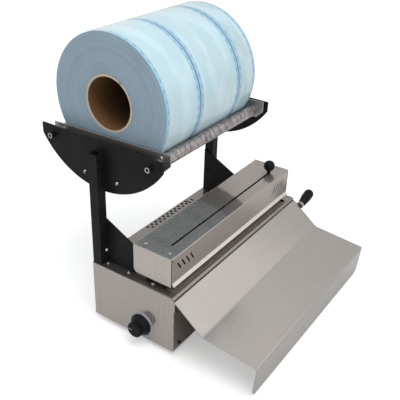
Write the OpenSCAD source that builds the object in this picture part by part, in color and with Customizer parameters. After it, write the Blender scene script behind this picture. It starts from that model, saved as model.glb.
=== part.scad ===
// Sterilization pouch sealer with a reel rack, a roller cutter and a press lever.
// Millimetres, +Z up. X runs along the machine, -Y is the working front.
// The origin is the centre of the base footprint, on the table.

/* [Base] */
// Length of the base along X
base_length = 366; // [350:1:460]
// Depth of the base along Y
base_depth = 152; // [140:1:180]
// Height of the base case above its feet
base_height = 98; // [92:1:120]
// Height of the rubber feet
foot_height = 8; // [5:0.5:15]
// Radius of the rubber feet
foot_radius = 9; // [6:0.5:14]
// Thickness of the stainless sheet
sheet = 1.5; // [1:0.1:2]
// Drop and run of the folded lip on the front edge of the top
lip_run = 3.25; // [3:0.25:6]

/* [Tray] */
// Reach of the sloped panel in front of the base
slope_reach = 49.6; // [35:0.1:60]
// Fall of the sloped panel
slope_fall = 38.8; // [25:0.1:42]
// Depth of the flat panel
flat_reach = 90.2; // [60:0.1:110]
// Fall of the flat panel towards the front
flat_fall = 8.5; // [0:0.5:14]
// Lean of the front flange back under the tray
flange_lean = 4; // [0:0.5:8]
// Height of the flange that holds the tray to the base
hook_height = 20; // [14:1:26]
// Corner cut of the front flange
flange_cut = 7; // [3:0.5:12]
// Gap between the front flange and the table
flange_gap = 1; // [0.5:0.5:3]

/* [Head] */
// Gap under the head that the pouch runs through
film_gap = 8.4; // [8:0.1:10]
// Height of the head
head_height = 48; // [46:0.5:60]
// Depth of the head
head_depth = 67.7; // [66:0.1:72]
// Distance from the front of the base to the front of the head
head_setback = 12.3; // [11:0.1:13]
// Distance from each end of the base to each end of the head
head_inset = 9.5; // [6:0.5:14]
// Height of the flared lip on the front of the head
flare_height = 6; // [4:0.5:9]
// Reach of the flared lip
flare_reach = 3.6; // [2:0.2:5]
// Radius of the rear lower corner of each head end
head_corner = 8; // [4:0.5:12]
// Number of slanted slits at each end of the head front
slit_count = 4; // [2:1:6]

/* [Cutter] */
// Distance from the head end to the parked cutter
cutter_margin = 31.7; // [31:0.1:60]
// Width of the slot in the head top
cutter_slot = 3.6; // [3:0.1:5]
// Distance from the front of the base to the cutting line
cutter_line = 34; // [33:0.5:36]
// Radius of the ball knob
knob_radius = 9.7; // [6:0.1:11]
// Height of the ball centre above the head top
knob_rise = 14; // [12:0.5:18]
// Thickness of the blade
blade_thickness = 1; // [0.6:0.1:1.4]

/* [Press] */
// Swing of the press lever in degrees
lever_swing = 45; // [30:1:50]
// Lift of the press bar over the whole swing
press_lift = 8.6; // [6:0.1:8.6]
// Width of the slot in the base top
press_slot = 22; // [21:0.5:24]
// Radius of the press shaft
shaft_radius = 5; // [4:0.25:5.5]
// Support height of the cams at rest
cam_rest = 14; // [13:0.5:16]
// Width of each cam
cam_width = 8; // [5:0.5:12]
// Radius of the guide legs
leg_radius = 4.5; // [3.5:0.25:5]
// Length of the lever grip
grip_length = 37; // [28:1:60]
// Largest radius of the lever grip
grip_radius = 9; // [7:0.25:11]
// Upward tilt of the lever rod in degrees
rod_tilt = 17; // [0:1:30]

/* [Dial] */
// Radius of the scale disc
scale_radius = 22; // [20:0.5:23]
// Radius of the knob skirt
skirt_radius = 18; // [14:0.5:19]
// Radius of the knob grip
dial_grip_radius = 12.5; // [9:0.5:14]
// How far the knob stands out
dial_reach = 18; // [14:0.5:30]

/* [Rack] */
// Distance between the outer faces of the two posts
rack_width = 312.3; // [308:0.1:330]
// Side of the square post
post_side = 16; // [14:0.5:18]
// Height of the post above the base top
post_height = 182; // [165:1:185]
// Wall of the square post
post_wall = 2; // [1.5:0.25:3]
// Thickness of the black plates
plate_thickness = 3; // [2:0.5:4]
// Half length of the half-moon plates
plate_half = 110; // [100:1:118]
// Height of the plate top above the base top
plate_top = 196; // [190:1:210]
// Height of the straight ends of the plates
plate_end = 16; // [12:1:20]
// Depth of the round below the straight ends
plate_sag = 60.5; // [50:0.5:66]
// Half distance between the two support tubes
tube_half = 89; // [80:0.5:92]
// Radius of the support tubes
tube_radius = 9; // [7:0.25:11]
// Height of the tube axis above the base top
tube_rise = 182; // [178:0.5:190]
// Gap between each plate and its steel rail
rail_gap = 13.5; // [10:0.5:15]

/* [Rolls] */
// Radius of the pouch rolls
roll_radius = 99; // [90:1:110]
// Outer radius of the cardboard cores
core_radius = 42; // [30:0.5:45]
// Inner radius of the cardboard cores
core_bore = 38; // [25:0.5:41]
// Width of the left roll
roll_left_width = 78.3; // [50:0.1:80]
// Width of the middle roll
roll_mid_width = 99.8; // [60:0.1:102]
// Width of the right roll
roll_right_width = 46.6; // [30:0.1:54]
// Gap between neighbouring rolls
roll_gap = 0.8; // [0.5:0.1:2]

/* [Fits] */
// Radial gap of a shaft that turns or slides in its hole
running_fit = 0.08; // [0.05:0.01:0.1]
// Gap between neighbouring moving faces
face_gap = 0.3; // [0.25:0.05:0.5]
// Radial gap around a fixed screw
screw_fit = 0.1; // [0.05:0.05:0.2]

/* [Hidden] */
$fn = 48;
eps = 0.01;
x_end = base_length / 2;
x_in = x_end - sheet;
y_front = -base_depth / 2;
y_rear = base_depth / 2;
z_floor = foot_height;
z_in = z_floor + sheet;
z_top = foot_height + base_height;
z_under = z_top - sheet;
root2 = sqrt(2);
lip_y = y_front + lip_run;
lip_back = lip_y + sheet * (root2 - 1);
lip_low = z_top - lip_run - sheet * root2;
wall_gap = 1;
wall_top = lip_low - wall_gap;

foot_inset_x = 42;
foot_inset_y = 26;
foot_draft = 1.2;
foot_x = x_end - foot_inset_x;
foot_y = y_rear - foot_inset_y;

flange_width = 16;
flange_setback = 34;
flange_front = y_front + flange_setback;
flange_inset = 6;
flange_rear = y_rear - flange_inset;
screw_inset = 11.5;
screw_rear = 20.5;
screw_mid = 61;
screw_front = 46;
screw_x = x_end - screw_inset;
base_screw_y = [y_rear - screw_rear, y_rear - screw_mid, y_front + screw_front];

screw_radius = 1.5;
screw_head = 2.9;
screw_head_height = 1.7;
screw_crown = 0.72;
screw_length = 8;
recess_width = 0.9;
recess_depth = 0.8;
recess_share = 0.6;

slope_gap = 0.6;
slope_top_z = z_top - lip_run - slope_gap;
hook_low = slope_top_z - hook_height;
tray_y1 = y_front - slope_reach;
tray_z1 = slope_top_z - slope_fall;
tray_y2 = tray_y1 - flat_reach;
tray_z2 = tray_z1 - flat_fall;
tray_line = [[y_front, hook_low], [y_front, slope_top_z], [tray_y1, tray_z1],
    [tray_y2, tray_z2], [tray_y2 + flange_lean, flange_gap]];
tray_screw_share = 0.7;
tray_screw_x = [-x_end * tray_screw_share, 0, x_end * tray_screw_share];
tray_screw_rise = 0.35;
tray_screw_z = hook_low + hook_height * tray_screw_rise;
front_screw_inset = 15;
front_screw_x = x_end - front_screw_inset;
front_screw_rise = 9;
front_screw_z = z_floor + front_screw_rise;

head_x = x_end - head_inset;
head_in = head_x - sheet;
head_y0 = y_front + head_setback;
head_y1 = head_y0 + head_depth;
head_z0 = z_top + film_gap;
head_z1 = head_z0 + head_height;
head_seam = 0.7;
head_screw_inset = 13;
head_screw_x = head_x - head_screw_inset;
head_screw_front = 12;
head_screw_y = [head_y0 + head_screw_front, head_y1 - head_screw_inset];
head_flange = 15;
head_flange_inset = 6;
spacer_width = 14;
spacer_depth = 20;
spacer_rise = 14;
spacer_inset = 2;
spacer_y = head_y1 - spacer_depth - spacer_inset;
slit_width = 2.6;
slit_height = 17;
slit_lean = 32;
slit_pitch = 10.5;
slit_inset = 20;
slit_x = head_x - slit_inset;
slit_drop = 20;
slit_z = head_z1 - slit_drop;

press_setback = 18;
press_y = y_front + press_setback;
slot_left = 11;
slot_x0 = -x_end + slot_left;
slot_right = 20;
slot_x1 = x_end - slot_right;
slot_corner = 5;
bar_margin = 2.2;
bar_x0 = slot_x0 + bar_margin;
bar_x1 = slot_x1 - bar_margin;
bar_side = 1.5;
bar_half = press_slot / 2 - bar_side;
pad_half = 5;
pad_height = 2;
pad_end = 2;
bar_height = 18;
pad_drop = 1;
pad_top = z_top - pad_drop;
bar_top = pad_top - pad_height;
bar_low = bar_top - bar_height;
swing_rad = lever_swing * PI / 180;
cam_rate = press_lift / swing_rad;
shaft_offset = 11;
shaft_y = press_y + shaft_offset;
shaft_z = bar_low - cam_rest - face_gap;
cam_wall = 4;
cam_hub = shaft_radius + cam_wall;
cam_steps = 24;
cam_flank = 0.5;
cam_shoulder = 0.6;
cam_heel = 2;
cam_over = 8;
lug_side = 4;
lug_half = cam_width / 2 + lug_side;
lug_over = 9;
lug_rear = shaft_y + cam_rate + lug_over;
lug_height = 8;
collar_radius = 7;
collar_height = 4;
collar_rise = 9;
collar_low = z_in + collar_rise;
guide_half_x = 14;
bearing_inset = 25;
bearing_width = 10;
bearing_gap = 4;
bearing_x0 = -x_end + bearing_inset;
leg_x = x_end - bearing_inset - bearing_width - bearing_gap - guide_half_x;
cam_gap = 8;
cam_x = leg_x - guide_half_x - lug_half - cam_gap;
guide_half_y = 11;
guide_wall = 4;
guide_height = 42;
guide_top = z_in + guide_height;
guide_plate = 12;
spring_radius = 6.6;
spring_low = collar_low + collar_height;
spring_high = guide_top - guide_plate;
bearing_half = 12;
shaft_tail = 4;
shaft_x0 = bearing_x0 - shaft_tail;
shaft_out = 15;
shaft_x1 = x_end + shaft_out;
bush_radius = 8;
bush_flange = 11;
bush_out = 3;
bush_in = 6;
hub_radius = 10;
hub_x0 = x_end + bush_out + face_gap;
hub_x1 = shaft_x1;
hand_front = 12.5;
hand_y = y_front - hand_front;
hand_drop = 13.7;
hand_z = z_top - hand_drop;
arm_half = 6;
arm_web = 5;
arm_thickness = 4;
arm_x0 = hub_x0;
rod_radius = 4;
rod_length = 2;
rod_inner = 24;
rod_root = 8;
rod_clip = 80;
grip_neck = 0.72;
grip_swell = 0.45;

film_room = 0.5;
pad_seat = pad_top + press_lift + film_room;
ptfe_height = 0.5;
element_height = 0.5;
heater_low = pad_seat + ptfe_height + element_height;
heater_height = 18;
heater_half = 5;
heater_left = 12;
heater_x0 = bar_x0 + heater_left;
heater_right = 10;
heater_x1 = bar_x1 - heater_right;
heater_gap = 0.7;
heater_y = head_y0 + sheet + heater_half + heater_gap;
element_half = 2.5;
element_end = 4;
ptfe_end = 2;
hanger_radius = 3.5;
hanger_share = 0.6;
hanger_x = [-x_end * hanger_share, 0, x_end * hanger_share];
sensor_radius = 4;
sensor_height = 9;
sensor_share = 0.3;
sensor_x = x_end * sensor_share;

cut_y = y_front + cutter_line;
park_x = head_in - cutter_margin;
rail_half = 10;
rail_height = 19;
rail_high = head_z1 - sheet;
rail_low = rail_high - rail_height;
rail_slot = 3;
rail_floor = 3;
rail_roof = 4;
carriage_half = 14;
rail_spare = 0.7;
rail_end = park_x + carriage_half + rail_spare;
carriage_side = 7;
carriage_low = rail_low + rail_floor + face_gap;
carriage_high = rail_high - rail_roof - face_gap;
stem_half = 1.3;
floor_lift = 1;
floor_gap = 3;
floor_front = cut_y + carriage_side + floor_gap;
floor_lap = 8;
floor_end = head_in - spacer_width;
stem_width = 2.2;
blade_half = 6;
blade_reach = 1.6;
blade_low = z_under - blade_reach;
blade_slope = 7;
blade_clamp = 6;
groove_half = 1.4;
groove_over = 10;
groove_end = park_x + groove_over;
neck_radius = 3.2;
neck_gap = 1;
knob_z = head_z1 + knob_rise;

vent_count = 11;
vent_pitch = 10.7;
vent_radius = 2.4;
vent_x = -56;
vent_inset = 5;
vent_y = y_rear - vent_inset;
vent_row = 6;
oblong_width = 3;
oblong_length = 8;
oblong_x = [53, 63.5];

dial_setback = 58.7;
dial_rise = 24;
dial_y = y_front + dial_setback;
dial_z = z_floor + dial_rise;
dial_shaft = 3;
scale_thickness = 1;
skirt_height = 7;
skirt_edge = 2;
skirt_chamfer = 2;
dial_chamfer = 1.5;
pointer_half = 0.6;
pointer_depth = 0.6;
pointer_start = 0.3;
flute_count = 12;
flute_radius = 2.2;
flute_depth = 0.9;
flute_rise = 3;
box_half = 17;
box_depth = 24;
shaft_depth = 20;

gland_share = 0.77;
gland_x = x_end * gland_share;
gland_rise = 22;
gland_z = z_floor + gland_rise;
gland_radius = 8;
gland_flange = 11;
gland_bore = 3.6;
gland_in = 8;
gland_out = 6;
switch_share = 0.55;
switch_x = x_end * switch_share;
switch_rise = 24;
switch_z = z_floor + switch_rise;
bezel_half_x = 11;
bezel_half_z = 15;
bezel_out = 2;
switch_half_x = 9.5;
switch_half_z = 13.2;
switch_deep = 18;
rocker_half_x = 7;
rocker_half_z = 10.5;
rocker_gap_x = 0.5;
rocker_gap_z = 1.1;
rocker_half_y = 4;
rocker_turn = 8;
rocker_pin = 2;
pin_wall = 0.6;
pocket_deep = 11;
rocker_sink = 2;
rocker_y = y_rear - rocker_sink;

rack_inset = 1;
rack_y = y_rear - post_side / 2 - rack_inset;
post_inset = 0.5;
post_x0 = -x_end + post_inset;
right_post_x = post_x0 + rack_width - post_side;
post_z1 = z_top + post_height;
left_face = post_x0 + post_side;
right_face = right_post_x;
plate_z1 = z_top + plate_top;
arc_z = plate_z1 - plate_end;
arc_radius = (plate_half * plate_half + plate_sag * plate_sag) / (2 * plate_sag);
tube_z = z_top + tube_rise;
tube_wall = 1.5;
roll_reach = roll_radius + tube_radius + face_gap;
roll_z = tube_z + sqrt(roll_reach * roll_reach - tube_half * tube_half);
rail_thickness = 2;
rail_front = 21;
rail_rear = 13;
rail_y0 = rack_y - tube_half - rail_front;
rail_y1 = rack_y + tube_half + rail_rear;
rail_front_rise = 4.8;
rail_front_top = plate_z1 + rail_front_rise;
rail_rear_drop = 2;
rail_rear_top = plate_z1 - rail_rear_drop;
lug_drop = 9;
lug_low = tube_z - lug_drop;
lug_depth = 34;
lug_cut = 11;
strip_drop = 9.7;
strip_low = plate_z1 - strip_drop;
bolt_radius = 3;
bolt_head = 4.25;
bolt_head_height = 7;
socket_radius = 2.4;
socket_depth = 3;
plug_depth = 18;
bolt_length = 32;
bolt_over = 8;
bolt_lead = 4;
spacer_radius = 6;
stiff_half = 40;
stiff_height = 16;
stiff_thickness = 4;
stiff_rise = 20.5;
stiff_z = arc_z - plate_sag + stiff_rise;
stiff_screw = 30;
ear_screw_y = 15;
ear_screw_drop = 3.5;
ear_screw_z = plate_z1 - ear_screw_drop;
gusset_gap = 2.5;
gusset_front = head_y1 + gusset_gap;
gusset_inset = 2;
gusset_rear = y_rear - gusset_inset;
gusset_low = z_top;
gusset_rear_share = 0.44;
gusset_rear_z = z_top + post_height * gusset_rear_share;
gusset_front_share = 0.25;
gusset_front_z = z_top + post_height * gusset_front_share;
gusset_flange = 15;
gusset_flange_gap = 4;
gusset_flange_y0 = gusset_front + gusset_flange_gap;
gusset_post_gap = 1;
gusset_flange_y1 = rack_y - post_side / 2 - gusset_post_gap;
gusset_screw_inset = 6;
gusset_screw_y = [gusset_flange_y0 + gusset_screw_inset, gusset_flange_y1 - gusset_screw_inset];
gusset_x = [left_face, right_face - plate_thickness];
post_screw_share = 0.22;
post_screw_z = z_top + post_height * post_screw_share;
face_screw_share = 0.118;
face_screw_z = z_top + post_height * face_screw_share;
face_screw_x = 3;
face_screw_length = 5;
post_screw_drop = 14;
post_screw_high = post_z1 - post_screw_drop;
roll_side = 3.7;
roll_start = left_face + plate_thickness + rail_gap + rail_thickness + roll_side;
mid_start = roll_start + roll_left_width + roll_gap;
right_start = mid_start + roll_mid_width + roll_gap;

function unit(v) = v / norm(v);
function side(v) = [-v[1], v[0]];
// Mitred point of a line of points, moved to its left by a thickness
function mitre(line, i, t) =
    let (before = i > 0 ? side(unit(line[i] - line[i - 1])) : side(unit(line[1] - line[0])),
        after = i < len(line) - 1 ? side(unit(line[i + 1] - line[i])) : before)
    line[i] + t * (before + after) / (1 + before * after);
function strip(line, t) = concat(line,
    [for (i = [len(line) - 1 : -1 : 0]) mitre(line, i, t)]);
// Outline of an involute cam whose lift grows evenly with its turn
function cam_point(turn) =
    let (h = cam_rest + cam_rate * turn * PI / 180, a = 90 - turn)
    [h * cos(a) + cam_rate * sin(a), h * sin(a) - cam_rate * cos(a)];

module steel() { color([0.72, 0.7, 0.67]) children(); }
module dark_paint() { color([0.14, 0.14, 0.15]) children(); }
module black_plastic() { color([0.08, 0.08, 0.09]) children(); }
module bright_metal() { color([0.82, 0.83, 0.85]) children(); }
module film_blue() { color([0.75, 0.88, 0.93]) children(); }
module card() { color([0.6, 0.5, 0.38]) children(); }

module block(x0, x1, y0, y1, z0, z1) {
    translate([x0, y0, z0])
        cube([x1 - x0, y1 - y0, z1 - z0]);
}
module rod_x(x0, x1, y, z, r) {
    translate([x0, y, z])
        rotate([0, 90, 0])
            cylinder(r = r, h = x1 - x0);
}
module rod_y(x, y0, y1, z, r) {
    translate([x, y0, z])
        rotate([-90, 0, 0])
            cylinder(r = r, h = y1 - y0);
}
module rod_z(x, y, z0, z1, r) {
    translate([x, y, z0])
        cylinder(r = r, h = z1 - z0);
}
// Extrudes an outline given as [y, z] points along X
module along_x(points, x0, x1) {
    translate([x0, 0, 0])
        rotate([90, 0, 90])
            linear_extrude(height = x1 - x0)
                polygon(points);
}
// Cross-headed screw whose head sits on z = 0 and whose shank points down
module screw(length) {
    difference() {
        union() {
            cylinder(r1 = screw_head, r2 = screw_head * screw_crown, h = screw_head_height);
            translate([0, 0, -length])
                cylinder(r = screw_radius, h = length + eps);
        }
        for (turn = [0, 90])
            rotate([0, 0, turn])
                translate([-screw_head * recess_share, -recess_width / 2, screw_head_height - recess_depth])
                    cube([2 * screw_head * recess_share, recess_width, recess_depth + 1]);
    }
}
module screw_hole(length) {
    translate([0, 0, -length])
        cylinder(r = screw_radius + screw_fit, h = length + 1);
}
module top_screw_places() {
    for (s = [-1, 1], y = base_screw_y)
        translate([s * screw_x, y, z_top])
            children();
}
module head_screw_places() {
    for (s = [-1, 1], y = head_screw_y)
        translate([s * head_screw_x, y, head_z1])
            children();
}
module tray_screw_places() {
    for (x = tray_screw_x)
        translate([x, y_front - sheet, tray_screw_z])
            rotate([90, 0, 0])
                children();
}
module front_screw_places() {
    for (s = [-1, 1])
        translate([s * front_screw_x, y_front, front_screw_z])
            rotate([90, 0, 0])
                children();
}

// Bottom, front wall and rear wall of the base, folded from one sheet
module base_pan() {
    steel()
        difference() {
            union() {
                block(-x_in, x_in, y_front, y_rear, z_floor, z_in);
                block(-x_in, x_in, y_front, y_front + sheet, z_floor, wall_top);
                block(-x_in, x_in, y_rear - sheet, y_rear, z_floor, z_under);
            }
            tray_screw_places()
                screw_hole(screw_length);
            front_screw_places()
                screw_hole(screw_length);
            rod_y(gland_x, y_rear - sheet - 1, y_rear + 1, gland_z, gland_radius + screw_fit);
            block(switch_x - switch_half_x - screw_fit, switch_x + switch_half_x + screw_fit,
                y_rear - sheet - 1, y_rear + 1,
                switch_z - switch_half_z - screw_fit, switch_z + switch_half_z + screw_fit);
        }
}
module end_plate() {
    along_x([[y_front, z_floor], [y_rear, z_floor], [y_rear, z_under], [lip_back, z_under],
        [y_front, lip_low]], -x_end, -x_in);
    block(-x_in, -x_in + flange_width, flange_front, flange_rear, z_under - sheet, z_under);
}
module base_left_end() {
    steel()
        difference() {
            end_plate();
            top_screw_places()
                screw_hole(screw_length);
            rod_x(-x_end - 1, -x_in + 1, dial_y, dial_z, dial_shaft + 1);
        }
}
module base_right_end() {
    steel()
        difference() {
            mirror([1, 0, 0])
                end_plate();
            top_screw_places()
                screw_hole(screw_length);
            rod_x(x_in - 1, x_end + 1, shaft_y, shaft_z, bush_radius + screw_fit);
        }
}
// Top of the base with the press slot, the cutting groove and the rear vents
module base_top() {
    steel()
        difference() {
            along_x(strip([[y_front, z_top - lip_run], [lip_y, z_top], [y_rear, z_top]], -sheet),
                -x_end, x_end);
            press_opening();
            block(-groove_end, groove_end, cut_y - groove_half, cut_y + groove_half,
                z_under - 1, z_top + 1);
            for (row = [0, 1], i = [0 : vent_count - 1 - row])
                rod_z(vent_x + (i + row / 2) * vent_pitch, vent_y - row * vent_row,
                    z_under - 1, z_top + 1, vent_radius);
            for (x = oblong_x)
                block(x - oblong_width / 2, x + oblong_width / 2,
                    vent_y - vent_row - oblong_length / 2, vent_y - vent_row + oblong_length / 2,
                    z_under - 1, z_top + 1);
            top_screw_places()
                screw_hole(screw_length);
            gusset_screw_places()
                screw_hole(screw_length);
        }
}
module press_opening() {
    y0 = press_y - press_slot / 2;
    y1 = press_y + press_slot / 2;
    block(slot_x0, slot_x1, y0 + slot_corner, y1 - slot_corner, z_under - 1, z_top + 1);
    block(slot_x0 + slot_corner, slot_x1 - slot_corner, y0, y1, z_under - 1, z_top + 1);
    for (x = [slot_x0 + slot_corner, slot_x1 - slot_corner],
        y = [y0 + slot_corner, y1 - slot_corner])
        rod_z(x, y, z_under - 1, z_top + 1, slot_corner);
}
module feet() {
    black_plastic()
        for (place = concat([[0, 0]], [for (x = [-foot_x, foot_x], y = [-foot_y, foot_y]) [x, y]]))
            translate([place[0], place[1], 0])
                cylinder(r1 = foot_radius - foot_draft, r2 = foot_radius, h = foot_height);
}
module case_screws() {
    bright_metal() {
        top_screw_places()
            screw(screw_length);
        tray_screw_places()
            screw(screw_length);
        front_screw_places()
            screw(screw_length);
    }
}
// Delivery tray bent from one sheet and hooked on the front wall
module tray() {
    steel()
        difference() {
            along_x(strip(tray_line, sheet), -x_end, x_end);
            tray_screw_places()
                screw_hole(screw_length);
            for (s = [-1, 1])
                translate([s * x_end, tray_y2, flange_gap])
                    rotate([0, 45, 0])
                        cube([flange_cut * root2, flange_cut * 6, flange_cut * root2], center = true);
        }
}

// Front, top and rear of the head, folded from one sheet
module head_cover() {
    flare_y = head_y0 - flare_reach;
    line = [[flare_y, head_z0 + sheet / 2], [head_y0, head_z0 + flare_height], [head_y0, head_z1],
        [head_y1, head_z1], [head_y1, head_z0 + head_corner]];
    steel()
        difference() {
            along_x(strip(line, -sheet), -head_in, head_in);
            for (s = [-1, 1])
                block(s * head_in - head_seam, s * head_in + head_seam,
                    flare_y - 1, head_y0 + sheet, head_z0 - 1, head_z1 - sheet);
            block(-park_x - stem_width - 1, park_x + stem_width + 1,
                cut_y - cutter_slot / 2, cut_y + cutter_slot / 2, head_z1 - sheet - 1, head_z1 + 1);
            for (s = [-1, 1], i = [0 : slit_count - 1])
                translate([s * (slit_x - i * slit_pitch), head_y0, slit_z])
                    rotate([0, s * slit_lean, 0])
                        block(-slit_width / 2, slit_width / 2, -1, sheet + 1,
                            -slit_height / 2, slit_height / 2);
            head_screw_places()
                screw_hole(screw_length);
        }
}
module head_end() {
    low = head_z0 + head_corner;
    translate([-head_x, 0, 0]) {
        along_x([[head_y0, head_z0], [head_y1 - head_corner, head_z0], [head_y1 - head_corner, low],
            [head_y1, low], [head_y1, head_z1], [head_y0, head_z1]], 0, sheet);
        rod_x(0, sheet, head_y1 - head_corner, low, head_corner);
    }
    block(-head_in, -head_in + head_flange, head_y0 + head_flange_inset, head_y1 - head_flange_inset,
        head_z1 - 2 * sheet, head_z1 - sheet);
}
module head_left_end() {
    steel()
        difference() {
            head_end();
            head_screw_places()
                screw_hole(screw_length);
        }
}
module head_right_end() {
    steel()
        difference() {
            mirror([1, 0, 0])
                head_end();
            head_screw_places()
                screw_hole(screw_length);
        }
}
// Blocks that carry the head over the base and leave the film gap
module head_spacers() {
    steel()
        for (s = [-1, 1])
            translate([s * (head_in - spacer_width / 2), 0, 0]) {
                block(-spacer_width / 2, spacer_width / 2, spacer_y, spacer_y + spacer_depth,
                    z_top, head_z0 + spacer_rise);
            }
}
// Bent floor that closes the head behind the cutter, held between the spacers
module head_floor() {
    low = head_z0 + floor_lift;
    rear = head_y1 - sheet;
    line = [[floor_front, low], [head_y1 - head_corner, low], [rear, low + head_corner - sheet],
        [rear, head_z0 + head_corner + floor_lap]];
    steel()
        along_x(strip(line, sheet), -floor_end, floor_end);
}
module head_screws() {
    bright_metal()
        head_screw_places()
            screw(screw_length);
}
module heater_bar() {
    bright_metal()
        block(heater_x0, heater_x1, heater_y - heater_half, heater_y + heater_half,
            heater_low, heater_low + heater_height);
}
module heater_hangers() {
    color([0.92, 0.9, 0.86])
        for (x = hanger_x)
            rod_z(x, heater_y, heater_low + heater_height, head_z1 - sheet, hanger_radius);
}
module heating_element() {
    color([0.55, 0.45, 0.38])
        block(heater_x0 + element_end, heater_x1 - element_end,
            heater_y - element_half, heater_y + element_half,
            heater_low - element_height, heater_low);
}
module ptfe_strip() {
    color([0.62, 0.5, 0.3])
        block(heater_x0 + ptfe_end, heater_x1 - ptfe_end,
            heater_y - heater_half, heater_y + heater_half,
            pad_seat, pad_seat + ptfe_height);
}
module thermal_sensor() {
    bright_metal()
        rod_z(sensor_x, heater_y, heater_low + heater_height,
            heater_low + heater_height + sensor_height, sensor_radius);
}
// Channel under the head top that guides the cutter carriage
module cutter_rail() {
    bright_metal()
        difference() {
            block(-rail_end, rail_end, cut_y - rail_half, cut_y + rail_half, rail_low, rail_high);
            block(-rail_end - 1, rail_end + 1, cut_y - carriage_side - face_gap,
                cut_y + carriage_side + face_gap, rail_low + rail_floor, rail_high - rail_roof);
            block(-rail_end - 1, rail_end + 1, cut_y - rail_slot, cut_y + rail_slot,
                rail_low - 1, rail_high + 1);
        }
}

// Bridges on the floor that guide the legs of the press bar
module press_guides() {
    steel()
        for (s = [-1, 1])
            translate([s * leg_x, press_y, 0])
                difference() {
                    block(-guide_half_x, guide_half_x, -guide_half_y, guide_half_y, z_in, guide_top);
                    block(-guide_half_x + guide_wall, guide_half_x - guide_wall,
                        -guide_half_y - 1, guide_half_y + 1, z_in - 1, spring_high);
                    rod_z(0, 0, z_in, guide_top + 1, leg_radius + running_fit);
                }
}
module return_springs() {
    bright_metal()
        for (s = [-1, 1])
            translate([s * leg_x, press_y, spring_low])
                difference() {
                    cylinder(r = spring_radius, h = spring_high - spring_low);
                    translate([0, 0, -1])
                        cylinder(r = leg_radius + face_gap, h = spring_high - spring_low + 2);
                }
}
module shaft_bearing() {
    steel()
        difference() {
            block(bearing_x0, bearing_x0 + bearing_width, shaft_y - bearing_half,
                shaft_y + bearing_half, z_in, shaft_z + bearing_half - 1);
            rod_x(bearing_x0 - 1, bearing_x0 + bearing_width + 1, shaft_y, shaft_z,
                shaft_radius + running_fit);
        }
}
module shaft_bush() {
    color([0.72, 0.58, 0.32])
        difference() {
            union() {
                rod_x(x_in - bush_in, x_end + eps, shaft_y, shaft_z, bush_radius);
                rod_x(x_end, x_end + bush_out, shaft_y, shaft_z, bush_flange);
            }
            rod_x(x_in - bush_in - 1, x_end + bush_out + 1, shaft_y, shaft_z, shaft_radius + running_fit);
        }
}
module scale_disc() {
    color([0.85, 0.86, 0.88])
        difference() {
            rod_x(-x_end - scale_thickness, -x_end, dial_y, dial_z, scale_radius);
            rod_x(-x_end - scale_thickness - 1, -x_end + 1, dial_y, dial_z, dial_shaft + 1);
        }
}
module thermostat_body() {
    black_plastic()
        difference() {
            block(-x_in, -x_in + box_depth, dial_y - box_half, dial_y + box_half,
                z_in, dial_z + box_half);
            rod_x(-x_in - 1, -x_in + shaft_depth + 1, dial_y, dial_z, dial_shaft + running_fit);
        }
}
module cord_gland() {
    black_plastic()
        difference() {
            union() {
                rod_y(gland_x, y_rear - gland_in, y_rear + eps, gland_z, gland_radius);
                rod_y(gland_x, y_rear, y_rear + gland_out, gland_z, gland_flange);
            }
            rod_y(gland_x, y_rear - gland_in - 1, y_rear + gland_out + 1, gland_z, gland_bore);
        }
}
module switch_body() {
    black_plastic()
        difference() {
            union() {
                block(switch_x - switch_half_x, switch_x + switch_half_x, y_rear - switch_deep,
                    y_rear + eps, switch_z - switch_half_z, switch_z + switch_half_z);
                block(switch_x - bezel_half_x, switch_x + bezel_half_x, y_rear, y_rear + bezel_out,
                    switch_z - bezel_half_z, switch_z + bezel_half_z);
            }
            block(switch_x - rocker_half_x - rocker_gap_x, switch_x + rocker_half_x + rocker_gap_x,
                y_rear - pocket_deep, y_rear + bezel_out + 1,
                switch_z - rocker_half_z - rocker_gap_z, switch_z + rocker_half_z + rocker_gap_z);
            rod_x(switch_x - switch_half_x + pin_wall, switch_x + switch_half_x - pin_wall,
                rocker_y, switch_z, rocker_pin + running_fit);
        }
}

module post(x0) {
    dark_paint()
        difference() {
            block(x0, x0 + post_side, rack_y - post_side / 2, rack_y + post_side / 2, z_top, post_z1);
            block(x0 + post_wall, x0 + post_side - post_wall, rack_y - post_side / 2 + post_wall,
                rack_y + post_side / 2 - post_wall, z_top - 1, post_z1 + 1);
            rack_screw_places()
                screw_hole(screw_length);
            face_screw_places()
                screw_hole(face_screw_length);
        }
}
module left_post() { post(post_x0); }
module right_post() { post(right_post_x); }

// Places that hold for both sides of the rack: children face the left outside
module both_sides() {
    translate([left_face, 0, 0])
        children();
    translate([right_face, 0, 0])
        mirror([1, 0, 0])
            children();
}
module one_side(right) {
    if (right)
        translate([right_face, 0, 0])
            mirror([1, 0, 0])
                children();
    else
        translate([left_face, 0, 0])
            children();
}
// Screws through the post wall, the gusset and the plate, seen from inside
module rack_screw_places() {
    both_sides() {
        for (z = [post_screw_z, post_screw_high])
            translate([plate_thickness, rack_y, z])
                rotate([0, 90, 0])
                    children();
    }
}
module face_screw_places() {
    one_side(false)
        translate([-face_screw_x, rack_y - post_side / 2, face_screw_z])
            rotate([90, 0, 0])
                children();
}
module plate_screw_places() {
    both_sides()
        for (s = [-1, 1])
            translate([0, rack_y + s * stiff_screw, stiff_z])
                rotate([0, -90, 0])
                    children();
}
module gusset_screw_places() {
    for (x = gusset_x, y = gusset_screw_y)
        translate([x + (plate_thickness + gusset_flange) / 2, y, z_top + plate_thickness])
            children();
}
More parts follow.
